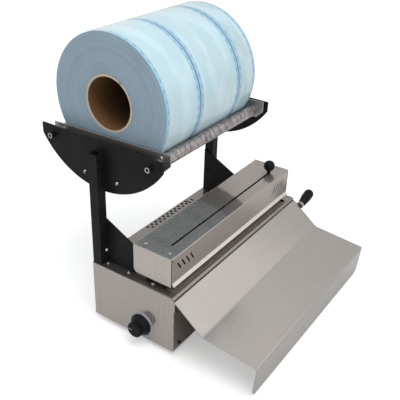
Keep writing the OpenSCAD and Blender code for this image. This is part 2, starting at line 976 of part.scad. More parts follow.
// Both gussets have the same hand, with the foot on their right
module gusset(x) {
    dark_paint()
        difference() {
            translate([x, 0, 0]) {
                along_x([[gusset_front, gusset_low], [gusset_rear, gusset_low],
                    [gusset_rear, gusset_rear_z], [gusset_front, gusset_front_z]], 0, plate_thickness);
                block(plate_thickness - eps, gusset_flange, gusset_flange_y0, gusset_flange_y1,
                    gusset_low, gusset_low + plate_thickness);
            }
            rack_screw_places()
                screw_hole(screw_length);
            gusset_screw_places()
                screw_hole(screw_length);
        }
}
module left_gusset() { gusset(gusset_x[0]); }
module right_gusset() { gusset(gusset_x[1]); }

// Half-moon side plate of the rack
module plate(right) {
    dark_paint()
        difference() {
            one_side(right)
                intersection() {
                    block(0, plate_thickness, rack_y - plate_half, rack_y + plate_half,
                        arc_z - plate_sag, plate_z1);
                    union() {
                        rod_x(-1, plate_thickness + 1, rack_y, arc_z - plate_sag + arc_radius, arc_radius,
                            $fn = 180);
                        block(-1, plate_thickness + 1, rack_y - plate_half, rack_y + plate_half,
                            arc_z, plate_z1);
                    }
                }
            rack_screw_places()
                screw_hole(screw_length);
            plate_screw_places()
                screw_hole(screw_length);
            tube_bolt_places()
                bolt_hole();
        }
}
module left_plate() { plate(false); }
module right_plate() { plate(true); }

// Bolt places at the tube ends: z points outwards, with the head on z = 0
module tube_bolt_places() {
    both_sides()
        for (s = [-1, 1])
            translate([0, rack_y + s * tube_half, tube_z])
                rotate([0, -90, 0])
                    children();
}
module bolt_hole() {
    translate([0, 0, -bolt_length - bolt_over])
        cylinder(r = bolt_radius + screw_fit, h = bolt_length + bolt_over + bolt_lead);
}
// Steel side rail that falls a little to the rear, with a lug for each tube
module rail(right) {
    rail_x = plate_thickness + rail_gap;
    steel()
        difference() {
            one_side(right)
                along_x([[rail_y0, rail_front_top], [rail_y0, lug_low + lug_cut],
                    [rail_y0 + lug_cut, lug_low], [rail_y0 + lug_depth, lug_low],
                    [rail_y0 + lug_depth, strip_low], [rail_y1 - lug_depth, strip_low],
                    [rail_y1 - lug_depth, lug_low], [rail_y1 - lug_cut, lug_low],
                    [rail_y1, lug_low + lug_cut], [rail_y1, rail_rear_top]],
                    rail_x, rail_x + rail_thickness);
            tube_bolt_places()
                bolt_hole();
            ear_screw_places()
                screw_hole(screw_length);
        }
}
module left_rail() { rail(false); }
module right_rail() { rail(true); }
module ear_screw_places() {
    both_sides()
        translate([plate_thickness + rail_gap, rail_y0 + ear_screw_y, ear_screw_z])
            rotate([0, -90, 0])
                children();
}
module plate_stiffeners() {
    dark_paint()
        difference() {
            both_sides()
                block(plate_thickness, plate_thickness + stiff_thickness, rack_y - stiff_half,
                    rack_y + stiff_half, stiff_z - stiff_height / 2, stiff_z + stiff_height / 2);
            plate_screw_places()
                screw_hole(screw_length);
        }
}
module tube_spacers() {
    bright_metal()
        difference() {
            both_sides()
                for (s = [-1, 1])
                    rod_x(plate_thickness, plate_thickness + rail_gap, rack_y + s * tube_half, tube_z,
                        spacer_radius);
            tube_bolt_places()
                bolt_hole();
        }
}
// Support tube with closed ends that take the bolts
module tube(s) {
    x0 = left_face + plate_thickness + rail_gap + rail_thickness;
    x1 = right_face - plate_thickness - rail_gap - rail_thickness;
    bright_metal()
        difference() {
            rod_x(x0, x1, rack_y + s * tube_half, tube_z, tube_radius);
            rod_x(x0 + plug_depth, x1 - plug_depth, rack_y + s * tube_half, tube_z,
                tube_radius - tube_wall);
            tube_bolt_places()
                bolt_hole();
        }
}
module front_tube() { tube(-1); }
module rear_tube() { tube(1); }
module tube_bolts() {
    bright_metal()
        tube_bolt_places()
            difference() {
                union() {
                    cylinder(r = bolt_head, h = bolt_head_height);
                    translate([0, 0, -bolt_length])
                        cylinder(r = bolt_radius, h = bolt_length + eps);
                }
                translate([0, 0, bolt_head_height - socket_depth])
                    cylinder(r = socket_radius, h = socket_depth + 1, $fn = 6);
            }
}
module rack_screws() {
    bright_metal() {
        rack_screw_places()
            screw(screw_length);
        plate_screw_places()
            screw(screw_length);
        ear_screw_places()
            screw(rail_thickness);
        face_screw_places()
            screw(face_screw_length);
        gusset_screw_places()
            screw(screw_length);
    }
}

module press_shaft() {
    bright_metal()
        rod_x(shaft_x0, shaft_x1, shaft_y, shaft_z, shaft_radius);
}
// Cams that lift the press bar evenly as the shaft turns
module press_cams() {
    flank = cam_hub * cam_flank;
    outline = concat([[-flank, 0], [-flank, cam_rest - cam_hub * cam_shoulder]],
        [for (i = [0 : cam_steps])
            cam_point(-cam_over + i * (lever_swing + 2 * cam_over) / cam_steps)], [[flank, -cam_heel]]);
    steel()
        translate([0, shaft_y, shaft_z])
            difference() {
                for (s = [-1, 1])
                    translate([s * cam_x - cam_width / 2, 0, 0])
                        union() {
                            along_x(outline, 0, cam_width);
                            rotate([0, 90, 0])
                                cylinder(r = cam_hub, h = cam_width);
                        }
                rotate([0, 90, 0])
                    cylinder(r = shaft_radius, h = base_length, center = true);
            }
}
// Hub on the end of the shaft with the arm that reaches to the front
module lever_arm() {
    reach = [hand_y - shaft_y, hand_z - shaft_z];
    steel()
        difference() {
            union() {
                rod_x(hub_x0, hub_x1, shaft_y, shaft_z, hub_radius);
                rod_x(arm_x0, arm_x0 + arm_thickness, hand_y, hand_z, arm_half);
                translate([arm_x0, shaft_y, shaft_z])
                    rotate([atan2(reach[1], reach[0]), 0, 0])
                        block(0, arm_thickness, 0, norm(reach), -arm_web, arm_web);
            }
            rod_x(hub_x0 - 1, hub_x1 + 1, shaft_y, shaft_z, shaft_radius);
            hand_place()
                translate([0, 0, -2 * rod_root])
                    cylinder(r = rod_radius, h = 3 * rod_root);
        }
}
// Start of the lever rod: z runs along the rod
module hand_place() {
    translate([arm_x0 + arm_thickness, hand_y, hand_z])
        rotate([0, 90 - rod_tilt, 0])
            children();
}
module lever_rod() {
    bright_metal()
        intersection() {
            hand_place()
                translate([0, 0, -rod_root])
                    cylinder(r = rod_radius, h = rod_length + rod_inner + rod_root);
            block(arm_x0, arm_x0 + base_length, hand_y - rod_clip, hand_y + rod_clip,
                hand_z - rod_clip, hand_z + rod_clip);
        }
}
module lever_grip() {
    neck = grip_radius * grip_neck;
    black_plastic()
        hand_place()
            translate([0, 0, rod_length])
                rotate_extrude()
                    difference() {
                        union() {
                            polygon([[0, 0], [neck, 0], [grip_radius, grip_length * grip_swell],
                                [grip_radius, grip_length - grip_radius], [0, grip_length - grip_radius]]);
                            intersection() {
                                translate([0, grip_length - grip_radius])
                                    circle(r = grip_radius);
                                square([grip_radius, grip_length]);
                            }
                        }
                        square([rod_radius, rod_inner]);
                    }
}
// Press bar with its lift lugs and guide legs
module press_bar() {
    bright_metal() {
        block(bar_x0, bar_x1, press_y - bar_half, press_y + bar_half, bar_low, bar_top);
        for (s = [-1, 1]) {
            block(s * cam_x - lug_half, s * cam_x + lug_half, press_y, lug_rear,
                bar_low, bar_low + lug_height);
            rod_z(s * leg_x, press_y, collar_low, bar_low + eps, leg_radius);
            rod_z(s * leg_x, press_y, collar_low, spring_low, collar_radius);
        }
    }
}
module press_pad() {
    color([0.5, 0.46, 0.4])
        block(bar_x0 + pad_end, bar_x1 - pad_end, press_y - pad_half, press_y + pad_half,
            bar_top, pad_top);
}

module cutter_carriage() {
    black_plastic()
        difference() {
            union() {
                block(park_x - carriage_half, park_x + carriage_half, cut_y - carriage_side,
                    cut_y + carriage_side, carriage_low, carriage_high);
                block(park_x - stem_width, park_x + stem_width, cut_y - stem_half,
                    cut_y + stem_half, carriage_high - eps, knob_z);
            }
            block(park_x - blade_half, park_x + blade_half, cut_y - blade_thickness / 2,
                cut_y + blade_thickness / 2, carriage_low - 1, carriage_low + blade_clamp);
        }
}
module cutter_blade() {
    bright_metal()
        translate([0, cut_y + blade_thickness / 2, 0])
            rotate([90, 0, 0])
                linear_extrude(height = blade_thickness)
                    polygon([[park_x - blade_half, blade_low + blade_slope],
                        [park_x, blade_low], [park_x + blade_half, blade_low + blade_slope],
                        [park_x + blade_half, carriage_low + blade_clamp],
                        [park_x - blade_half, carriage_low + blade_clamp]]);
}
module cutter_knob() {
    black_plastic()
        difference() {
            translate([park_x, cut_y, knob_z])
                rotate_extrude() {
                    intersection() {
                        circle(r = knob_radius);
                        translate([0, -knob_radius])
                            square([knob_radius, 2 * knob_radius]);
                    }
                    translate([0, neck_gap - knob_rise])
                        square([neck_radius, knob_rise - neck_gap]);
                }
            block(park_x - stem_width, park_x + stem_width, cut_y - stem_half,
                cut_y + stem_half, head_z1, knob_z);
        }
}

// Knob of the temperature dial with its shaft
module dial_knob() {
    black_plastic()
        translate([-x_end - scale_thickness - face_gap, dial_y, dial_z])
            rotate([0, -90, 0])
                difference() {
                    union() {
                        rotate_extrude()
                            polygon([[0, 0], [skirt_radius, 0], [skirt_radius, skirt_edge],
                                [dial_grip_radius + dial_chamfer, skirt_height],
                                [dial_grip_radius, skirt_height + skirt_chamfer],
                                [dial_grip_radius, dial_reach - dial_chamfer],
                                [dial_grip_radius - dial_chamfer, dial_reach],
                                [0, dial_reach]]);
                        translate([0, 0, -shaft_depth])
                            cylinder(r = dial_shaft, h = shaft_depth + eps);
                    }
                    translate([-pointer_half, dial_grip_radius * pointer_start, dial_reach - pointer_depth])
                        cube([2 * pointer_half, dial_grip_radius, pointer_depth + 1]);
                    for (i = [0 : flute_count - 1])
                        rotate([0, 0, 360 * (i + 0.5) / flute_count])
                            translate([dial_grip_radius + flute_radius - flute_depth, 0,
                                skirt_height + flute_rise])
                                cylinder(r = flute_radius, h = dial_reach);
                }
}
module power_rocker() {
    black_plastic()
        translate([switch_x, rocker_y, switch_z])
            rotate([-rocker_turn, 0, 0])
                union() {
                    block(-rocker_half_x, rocker_half_x, -rocker_half_y, rocker_half_y,
                        -rocker_half_z, rocker_half_z);
                    rotate([0, 90, 0])
                        cylinder(r = rocker_pin, h = 2 * switch_half_x - 2, center = true);
                }
}

module film(x0, width) {
    film_blue()
        difference() {
            rod_x(x0, x0 + width, rack_y, roll_z, roll_radius, $fn = 96);
            rod_x(x0 - 1, x0 + width + 1, rack_y, roll_z, core_radius);
        }
}
module core(x0, width) {
    card()
        difference() {
            rod_x(x0, x0 + width, rack_y, roll_z, core_radius);
            rod_x(x0 - 1, x0 + width + 1, rack_y, roll_z, core_bore);
        }
}
module left_roll_film() { film(roll_start, roll_left_width); }
module left_roll_core() { core(roll_start, roll_left_width); }
module mid_roll_film() { film(mid_start, roll_mid_width); }
module mid_roll_core() { core(mid_start, roll_mid_width); }
module right_roll_film() { film(right_start, roll_right_width); }
module right_roll_core() { core(right_start, roll_right_width); }

base_pan();
base_left_end();
base_right_end();
base_top();
feet();
case_screws();
tray();
head_cover();
head_left_end();
head_right_end();
head_spacers();
head_floor();
head_screws();
heater_bar();
heater_hangers();
heating_element();
ptfe_strip();
thermal_sensor();
cutter_rail();
press_guides();
return_springs();
shaft_bearing();
shaft_bush();
scale_disc();
thermostat_body();
cord_gland();
switch_body();
left_post();
right_post();
left_gusset();
right_gusset();
left_plate();
right_plate();
left_rail();
right_rail();
plate_stiffeners();
tube_spacers();
front_tube();
rear_tube();
tube_bolts();
rack_screws();
press_shaft();
press_cams();
lever_arm();
lever_rod();
lever_grip();
press_bar();
press_pad();
cutter_carriage();
cutter_blade();
cutter_knob();
dial_knob();
power_rocker();
left_roll_film();
left_roll_core();
mid_roll_film();
mid_roll_core();
right_roll_film();
right_roll_core();
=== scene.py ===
"""Looks of a sterilization pouch sealer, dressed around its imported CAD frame."""

import logging
import math
import random
from dataclasses import dataclass, replace
from enum import Enum
from functools import cache
from typing import Callable, Iterable, Sequence

import bmesh
import bpy
from mathutils import Matrix, Vector


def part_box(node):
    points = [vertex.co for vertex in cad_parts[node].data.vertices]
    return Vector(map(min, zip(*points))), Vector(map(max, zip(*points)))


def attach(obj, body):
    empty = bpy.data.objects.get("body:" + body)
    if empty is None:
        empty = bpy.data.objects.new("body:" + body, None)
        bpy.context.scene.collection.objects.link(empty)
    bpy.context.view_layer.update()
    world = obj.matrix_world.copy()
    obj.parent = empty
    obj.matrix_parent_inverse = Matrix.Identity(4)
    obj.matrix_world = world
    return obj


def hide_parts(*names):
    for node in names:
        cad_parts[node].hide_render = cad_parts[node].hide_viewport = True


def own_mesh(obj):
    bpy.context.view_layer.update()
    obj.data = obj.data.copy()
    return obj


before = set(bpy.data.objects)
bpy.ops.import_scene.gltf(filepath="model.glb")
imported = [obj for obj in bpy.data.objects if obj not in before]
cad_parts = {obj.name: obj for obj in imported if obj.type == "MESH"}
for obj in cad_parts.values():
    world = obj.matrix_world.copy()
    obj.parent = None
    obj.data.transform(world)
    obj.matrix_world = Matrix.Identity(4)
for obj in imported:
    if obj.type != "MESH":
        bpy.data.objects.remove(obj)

Triple = tuple[float, float, float]
Colour = tuple[float, float, float]
Range = tuple[float, float]
Spread = tuple[Range, Range]
Socket = bpy.types.NodeSocket
Edges = list[bmesh.types.BMEdge]
Rule = Callable[[bmesh.types.BMFace], int]

LOG = logging.getLogger("pouch_sealer")
MM = 0.001
BRUSH_MAP = "brush"
FULL: Range = (0.0, 1.0)
NOISE_MIDDLE: Range = (0.3, 0.7)
BLACK: Colour = (0.0, 0.0, 0.0)
WHITE = (1.0, 1.0, 1.0, 1.0)
MERGE = 2e-6
FLAT = math.radians(0.6)
CREASE = math.radians(38.0)
EDGE = 0.3 * MM
FOLD_STEPS = 5


class Grain(Enum):
    """Stretch of the brushing noise, so that its hairlines run along one axis."""

    ALONG_X = (12.0, 2400.0, 2400.0)
    ALONG_Y = (2400.0, 12.0, 2400.0)
    ALONG_Z = (2400.0, 2400.0, 12.0)

    def axis(self) -> int:
        """Gives the number of the axis that the hairlines follow."""
        return self.value.index(min(self.value))


class RollSide(Enum):
    """Place of a roll on the rack."""

    LEFT = "left"
    MID = "mid"
    RIGHT = "right"


class Wiring:
    """Nodes and links of one node tree."""

    def __init__(self, tree: bpy.types.NodeTree) -> None:
        """Keeps the tree to wire in."""
        self.tree = tree

    def add(self, kind: str, **settings: object) -> bpy.types.Node:
        """Adds one node.

        Args:
            kind: Blender's name of the node type.
            settings: Attributes to set on the node.

        Returns:
            The new node.
        """
        node = self.tree.nodes.new(kind)
        for key, value in settings.items():
            setattr(node, key, value)
        return node

    def feed(self, socket: Socket, value: object) -> None:
        """Links a socket to another one, or sets its own number or colour.

        Args:
            socket: Input to feed.
            value: Output socket, number or colour.
        """
        if isinstance(value, Socket):
            self.tree.links.new(value, socket)
        else:
            socket.default_value = value

    def maths(self, operation: str, first: object, second: object = 0.0) -> Socket:
        """Works out one sum.

        Args:
            operation: Blender's name of the sum.
            first: First value or socket.
            second: Second value or socket.

        Returns:
            The socket of the result.
        """
        node = self.add("ShaderNodeMath", operation=operation)
        self.feed(node.inputs[0], first)
        self.feed(node.inputs[1], second)
        return node.outputs[0]

    def times(self, first: object, second: object) -> Socket:
        """Multiplies two values or sockets."""
        return self.maths("MULTIPLY", first, second)

    def spread(self, value: Socket, to: Range, start: Range = NOISE_MIDDLE) -> Socket:
        """Maps a value from one range to another, and holds it there.

        Args:
            value: Value to map.
            to: Lowest and highest result.
            start: Values that give them.

        Returns:
            The mapped socket.
        """
        node = self.add("ShaderNodeMapRange", clamp=True)
        self.feed(node.inputs["Value"], value)
        node.inputs["From Min"].default_value, node.inputs["From Max"].default_value = start
        node.inputs["To Min"].default_value, node.inputs["To Max"].default_value = to
        return node.outputs["Result"]

    def split(self, vector: Socket) -> Sequence[Socket]:
        """Takes a vector apart.

        Args:
            vector: Socket of the vector.

        Returns:
            The sockets of its three parts.
        """
        node = self.add("ShaderNodeSeparateXYZ")
        self.feed(node.inputs[0], vector)
        return node.outputs


class NodeBench(Wiring):
    """Bench on which the node tree of one material is wired."""

    def __init__(self, name: str) -> None:
        """Makes the material with its main shader.

        Args:
            name: Name of the new material.
        """
        self.material = bpy.data.materials.new(name)
        self.material.use_nodes = True
        super().__init__(self.material.node_tree)
        self.tree.nodes.clear()
        self.shader = self.add("ShaderNodeBsdfPrincipled")
        self.feed(self.add("ShaderNodeOutputMaterial").inputs["Surface"], self.shader.outputs["BSDF"])
        self.normal: Socket | None = None

    def dress(self, **sockets: object) -> None:
        """Feeds sockets of the main shader, named with underscores for spaces."""
        for key, value in sockets.items():
            self.feed(self.shader.inputs[key.replace("_", " ")], value)

    def place(self, scale: Triple = (1, 1, 1), shift: Triple = (0, 0, 0)) -> Socket:
        """Gives Object coordinates that are shifted, then stretched.

        Args:
            scale: Stretch along each axis.
            shift: Shift along each axis, in metres, before the stretch.

        Returns:
            The vector socket.
        """
        coords = self.add("ShaderNodeTexCoord").outputs["Object"]
        mapping = self.add("ShaderNodeMapping")
        self.feed(mapping.inputs["Vector"], coords)
        mapping.inputs["Location"].default_value = [a * b for a, b in zip(shift, scale)]
        mapping.inputs["Scale"].default_value = scale
        return mapping.outputs["Vector"]

    def noise(self, vector: Socket, scale: float = 1.0, detail: float = 3.0) -> Socket:
        """Gives a noise value from 0 to 1 at a place.

        Args:
            vector: Place to read the noise at.
            scale: Waves per unit of the vector.
            detail: Octaves of finer noise.

        Returns:
            The value socket.
        """
        node = self.add("ShaderNodeTexNoise")
        self.feed(node.inputs["Vector"], vector)
        node.inputs["Scale"].default_value = scale
        node.inputs["Detail"].default_value = detail
        return node.outputs[0]

    def blend(self, share: object, first: object, second: object) -> Socket:
        """Mixes two colours.

        Args:
            share: Share of the second colour.
            first: Colour or socket at a share of 0.
            second: Colour or socket at a share of 1.

        Returns:
            The colour socket.
        """
        node = self.add("ShaderNodeMix", data_type="RGBA")
        self.feed(node.inputs[0], share)
        for index, colour in ((6, first), (7, second)):
            self.feed(node.inputs[index], (*colour, 1.0) if isinstance(colour, tuple) else colour)
        return node.outputs[2]

    def mottle(self, value: Socket, colour: Colour, tones: Range, start: Range = NOISE_MIDDLE) -> Socket:
        """Gives a colour that goes from a low to a high tone with a noise value."""
        low, high = (shade(colour, tone) for tone in tones)
        return self.blend(self.spread(value, FULL, start), low, high)

    def lean(self, bow: Triple) -> None:
        """Leans the normal a little, as a sheet does that bows between its screws.

        Args:
            bow: Vector to add to the normal.
        """
        added = self.add("ShaderNodeVectorMath", operation="ADD")
        self.feed(added.inputs[0], self.add("ShaderNodeNewGeometry").outputs["Normal"])
        self.feed(added.inputs[1], bow)
        unit = self.add("ShaderNodeVectorMath", operation="NORMALIZE")
        self.feed(unit.inputs[0], added.outputs[0])
        self.normal = unit.outputs[0]

    def relief(self, height: Socket, strength: float, depth: float) -> None:
        """Adds fine relief to the main shader, over any relief that it has.

        Args:
            height: Height from 0 to 1.
            strength: Strength of the relief.
            depth: Depth of the relief in metres.
        """
        node = self.add("ShaderNodeBump")
        node.inputs["Strength"].default_value = strength
        node.inputs["Distance"].default_value = depth
        self.feed(node.inputs["Height"], height)
        if self.normal:
            self.feed(node.inputs["Normal"], self.normal)
        self.normal = node.outputs["Normal"]
        self.dress(Normal=self.normal)


def shade(colour: Colour, share: float) -> Colour:
    """Gives a colour made darker or lighter by a share."""
    return tuple(min(1.0, part * share) for part in colour)


@dataclass(frozen=True)
class Finish:
    """A finish of one surface, made into a material once."""

    name: str
    slot: str
    colour: Colour
    grain: Grain = Grain.ALONG_X

    @cache
    def material(self) -> bpy.types.Material:
        """Makes the material on the first call.

        Returns:
            The material of this finish.
        """
        bench = NodeBench(self.name)
        self.lay(bench)
        return bench.material

    def lay(self, bench: NodeBench) -> None:
        """Wires the finish on a bench."""
        raise NotImplementedError


@dataclass(frozen=True)
class BrushedSteel(Finish):
    """Satin steel sheet with hairlines, a grid of dull lines, handling marks and a slight bow."""

    roughness: Range = (0.05, 0.09)
    weave: float = 3.2 * MM
    line: Range = (0.25, 0.95)
    emboss: float = 0.004 * MM
    cloth: float = 0.1
    cloth_roughness: float = 0.55
    metallic: float = 0.96
    anisotropy: float = 0.45
    quarter_turn: float = 0.25
    contrast: float = 0.06
    clouds: float = 11.0
    cloud_roughness: Range = (-0.02, 0.04)
    veil: Range = (0.0, 0.2)
    veil_tone: float = 0.86
    waves: float = 14.0
    waviness: float = 0.03 * MM
    hair_relief: Range = (0.015, 0.02 * MM)
    bow: Triple = (0.0, 0.0, 0.0)

    def lay(self, bench: NodeBench) -> None:
        """Wires hairlines, dull lines, marks, waves and a gloss that spreads across the hairlines.

        Args:
            bench: Bench of the material.
        """
        flat = bench.split(bench.add("ShaderNodeUVMap", uv_map=BRUSH_MAP).outputs[0])
        waves = [bench.maths("SINE", bench.times(axis, math.tau / self.weave)) for axis in flat[:2]]
        cloth = bench.spread(bench.maths("MAXIMUM", *waves), FULL, self.line)
        hair = bench.noise(bench.place(self.grain.value), detail=2.0)
        cloud = bench.noise(bench.place(), self.clouds)
        tone = bench.mottle(hair, self.colour, (1 - self.contrast, 1 + self.contrast))
        tone = bench.blend(bench.times(cloth, self.cloth), tone, BLACK)
        tone = bench.blend(bench.spread(cloud, self.veil), tone, shade(self.colour, self.veil_tone))
        rough = bench.maths("ADD", bench.spread(hair, self.roughness),
                            bench.spread(cloud, self.cloud_roughness))
        rough = bench.maths("ADD", rough, bench.times(cloth, self.cloth_roughness))
        tangent = bench.add("ShaderNodeTangent", direction_type="UV_MAP", uv_map=BRUSH_MAP)
        bench.dress(Base_Color=tone, Metallic=self.metallic, Roughness=rough, Anisotropic=self.anisotropy,
                    Anisotropic_Rotation=self.quarter_turn, Tangent=tangent.outputs["Tangent"])
        bench.lean(self.bow)
        bench.relief(bench.noise(bench.place(), self.waves, 1.0), 1.0, self.waviness)
        bench.relief(cloth, 1.0, self.emboss)
        bench.relief(hair, *self.hair_relief)


@dataclass(frozen=True)
class PolishedSteel(Finish):
    """Turned or plated metal with a bright gloss and fine scratches."""

    roughness: Range = (0.14, 0.24)
    scratches: float = 900.0
    clouds: float = 40.0
    tones: Range = (0.9, 1.0)
    relief: Range = (0.03, 0.03 * MM)

    def lay(self, bench: NodeBench) -> None:
        """Wires a bright metal with fine wear.

        Args:
            bench: Bench of the material.
        """
        fine = bench.noise(bench.place((self.scratches,) * 3), detail=2.0)
        cloud = bench.noise(bench.place(), self.clouds)
        bench.dress(Base_Color=bench.mottle(cloud, self.colour, self.tones), Metallic=1.0,
                    Roughness=bench.spread(fine, self.roughness))
        bench.relief(fine, *self.relief)


@dataclass(frozen=True)
class BandedTube(Finish):
    """Support tube with darker rings at uneven spacing and darker patches."""

    dark_colour: Colour = (0.09, 0.075, 0.11)
    ring_pitch: float = 13 * MM
    ring_share: Spread = ((0.85, 0.0), (0.03, 0.1))
    drift: float = 2.6
    drift_waves: Triple = (25, 60, 60)
    patch_waves: Triple = (110, 70, 70)
    patch_share: Spread = ((0.0, 0.75), (0.56, 0.7))
    tones: Range = (1.0, 0.72)
    metallic: float = 0.75
    roughness: Range = (0.2, 0.38)
    relief: Range = (0.15, 0.1 * MM)

    def lay(self, bench: NodeBench) -> None:
        """Wires darker rings, darker patches and a dull gloss.

        Args:
            bench: Bench of the material.
        """
        along = bench.split(bench.place())[0]
        drift = bench.noise(bench.place(self.drift_waves), detail=2.0)
        patch = bench.noise(bench.place(self.patch_waves), detail=4.0)
        phase = bench.maths("ADD", bench.maths("DIVIDE", along, self.ring_pitch),
                            bench.times(drift, self.drift))
        ring = bench.spread(bench.maths("PINGPONG", phase, 0.5), *self.ring_share)
        dark = bench.maths("MAXIMUM", ring, bench.spread(patch, *self.patch_share))
        mottled = bench.mottle(patch, self.colour, self.tones)
        bench.dress(Base_Color=bench.blend(dark, mottled, self.dark_colour), Metallic=self.metallic,
                    Roughness=bench.spread(patch, self.roughness))
        bench.relief(bench.maths("SUBTRACT", patch, ring), *self.relief)


@dataclass(frozen=True)
class PowderCoat(Finish):
    """Black powder coat with fine orange peel."""

    roughness: Range = (0.34, 0.46)
    gloss: float = 0.2
    peel: float = 1300.0
    dust: float = 30.0
    tones: Range = (0.8, 1.35)
    relief: Range = (0.12, 0.15 * MM)

    def lay(self, bench: NodeBench) -> None:
        """Wires the peel, a faint dust and the dull gloss.

        Args:
            bench: Bench of the material.
        """
        peel = bench.noise(bench.place(), self.peel, 2.0)
        dust = bench.noise(bench.place(), self.dust, 5.0)
        bench.dress(Base_Color=bench.mottle(dust, self.colour, self.tones),
                    Roughness=bench.spread(peel, self.roughness), Specular_IOR_Level=self.gloss)
        bench.relief(peel, *self.relief)


@dataclass(frozen=True)
class Moulding(Finish):
    """Moulded plastic, rubber or ceramic with a fine skin."""

    roughness: Range = (0.22, 0.34)
    gloss: float = 0.12
    skin: float = 2200.0
    flow: float = 60.0
    tones: Range = (0.85, 1.2)
    relief: Range = (0.08, 0.08 * MM)

    def lay(self, bench: NodeBench) -> None:
        """Wires a fine skin and a slight change of tone.

        Args:
            bench: Bench of the material.
        """
        flow = bench.noise(bench.place(), self.flow)
        bench.dress(Base_Color=bench.mottle(flow, self.colour, self.tones),
                    Roughness=bench.spread(flow, self.roughness), Specular_IOR_Level=self.gloss)
        bench.relief(bench.noise(bench.place(), self.skin, 2.0), *self.relief)


@dataclass(frozen=True)
class RollPlace:
    """Where one roll sits: its ends along X and its axis."""

    left: float = 0.0
    right: float = 1.0
    axis_y: float = 0.0
    axis_z: float = 0.0

    def polar(self, bench: NodeBench) -> tuple[Socket, Socket, Socket]:
        """Wires the roll's own coordinates.

        Args:
            bench: Bench of the material.

        Returns:
            Place along the axis, turn in whole turns and distance from the axis.
        """
        along, across, up = bench.split(bench.place(shift=(0.0, -self.axis_y, -self.axis_z)))
        turn = bench.maths("DIVIDE", bench.maths("ARCTAN2", up, across), math.tau)
        square = bench.maths("ADD", bench.times(across, across), bench.times(up, up))
        return along, turn, bench.maths("SQRT", square)


@dataclass(frozen=True)
class RollFinish(Finish):
    """A finish that is laid in the coordinates of one roll."""

    place: RollPlace = RollPlace()


@dataclass(frozen=True)
class FilmSkin(RollFinish):
    """Outer turn of the pouch film: clear film over pale blue paper with edge seams."""

    cream: Colour = (0.58, 0.66, 0.6)
    cream_share: Spread = ((0.0, 0.4), (0.42, 0.7))
    clouds: float = 14.0
    # painted sheen: pale streaky patches over the film stand for glints of the white surroundings
    sheen_tint: Colour = (0.66, 0.83, 0.88)
    sheen_tint_share: Spread = ((0.0, 0.42), (0.47, 0.6))
    sheen_tint_waves: Triple = (34, 12, 12)
    sheen_tint_shift: Triple = (0.2, 0.1, 0.0)
    band: Colour = (0.25, 0.5, 0.7)
    band_width: float = 7.5 * MM
    band_edge: float = 0.7 * MM
    rib: float = 1.1 * MM
    rib_share: Range = (0.45, 0.95)
    # painted shade: rim is a dark blue laid on the film near each end, standing for the shadow in the gaps
    # between rolls
    rim: Colour = (0.08, 0.22, 0.42)
    edge_shade_width: float = 1.8 * MM
    edge_shade_start: float = 0.3
    edge_shade_share: float = 0.8
    dashes: int = 44
    dash_length: float = 0.42
    dash_row: float = 4.6 * MM
    dash_half: float = 1.3 * MM
    dash_share: float = 0.55
    dash_tone: float = 0.5
    slack_waves: Triple = (60, 9, 9)
    slack_relief: Range = (0.18, 0.4 * MM)
    bulge_waves: Triple = (26, 42, 42)
    bulge_relief: Range = (0.6, 1.6 * MM)
    roughness: Range = (0.3, 0.45)
    gloss: float = 0.35
    coat: float = 0.8
    coat_roughness: float = 0.08

    def lay(self, bench: NodeBench) -> None:
        """Wires the seam bands, their marks, pale patches of painted sheen, painted shade along the edges and
        the slack of the film.

        Args:
            bench: Bench of the material.
        """
        along, turn, _ = self.place.polar(bench)
        edge = bench.maths("MINIMUM", bench.maths("SUBTRACT", along, self.place.left),
                           bench.maths("SUBTRACT", self.place.right, along))
        fade = (self.band_width - self.band_edge, self.band_width + self.band_edge)
        seam = bench.spread(edge, (1.0, 0.0), fade)
        rib = bench.spread(bench.maths("PINGPONG", edge, self.rib), self.rib_share, (0.0, self.rib))
        ribbed = bench.times(seam, rib)
        phase = bench.maths("FRACT", bench.times(turn, float(self.dashes)))
        row = bench.maths("COMPARE", edge, self.dash_row)
        row.node.inputs[2].default_value = self.dash_half
        dash = bench.times(bench.maths("LESS_THAN", phase, self.dash_length), row)
        cloud = bench.noise(bench.place(), self.clouds, 4.0)
        base = bench.blend(bench.spread(cloud, *self.cream_share), self.colour, self.cream)
        # painted sheen: pale patches lighten the film
        sheen_patches = bench.noise(bench.place(self.sheen_tint_waves, self.sheen_tint_shift))
        base = bench.blend(bench.spread(sheen_patches, *self.sheen_tint_share), base, self.sheen_tint)
        base = bench.blend(ribbed, base, self.band)
        base = bench.blend(bench.times(dash, self.dash_share), base, shade(self.band, self.dash_tone))
        # painted shade: darker blue near each end of the roll, as in the shadowed gaps between rolls
        rim = bench.spread(edge, (self.edge_shade_share, 0.0), (self.edge_shade_start * self.edge_shade_width, self.edge_shade_width))
        slack = bench.noise(bench.place(self.slack_waves))
        bench.dress(Base_Color=bench.blend(rim, base, self.rim),
                    Roughness=bench.spread(slack, self.roughness), Specular_IOR_Level=self.gloss,
                    Coat_Weight=self.coat, Coat_Roughness=self.coat_roughness)
        bench.relief(bench.maths("ADD", slack, ribbed), *self.slack_relief)
        bulge = bench.noise(bench.place(self.bulge_waves), detail=1.0)
        bench.relief(bulge, *self.bulge_relief)


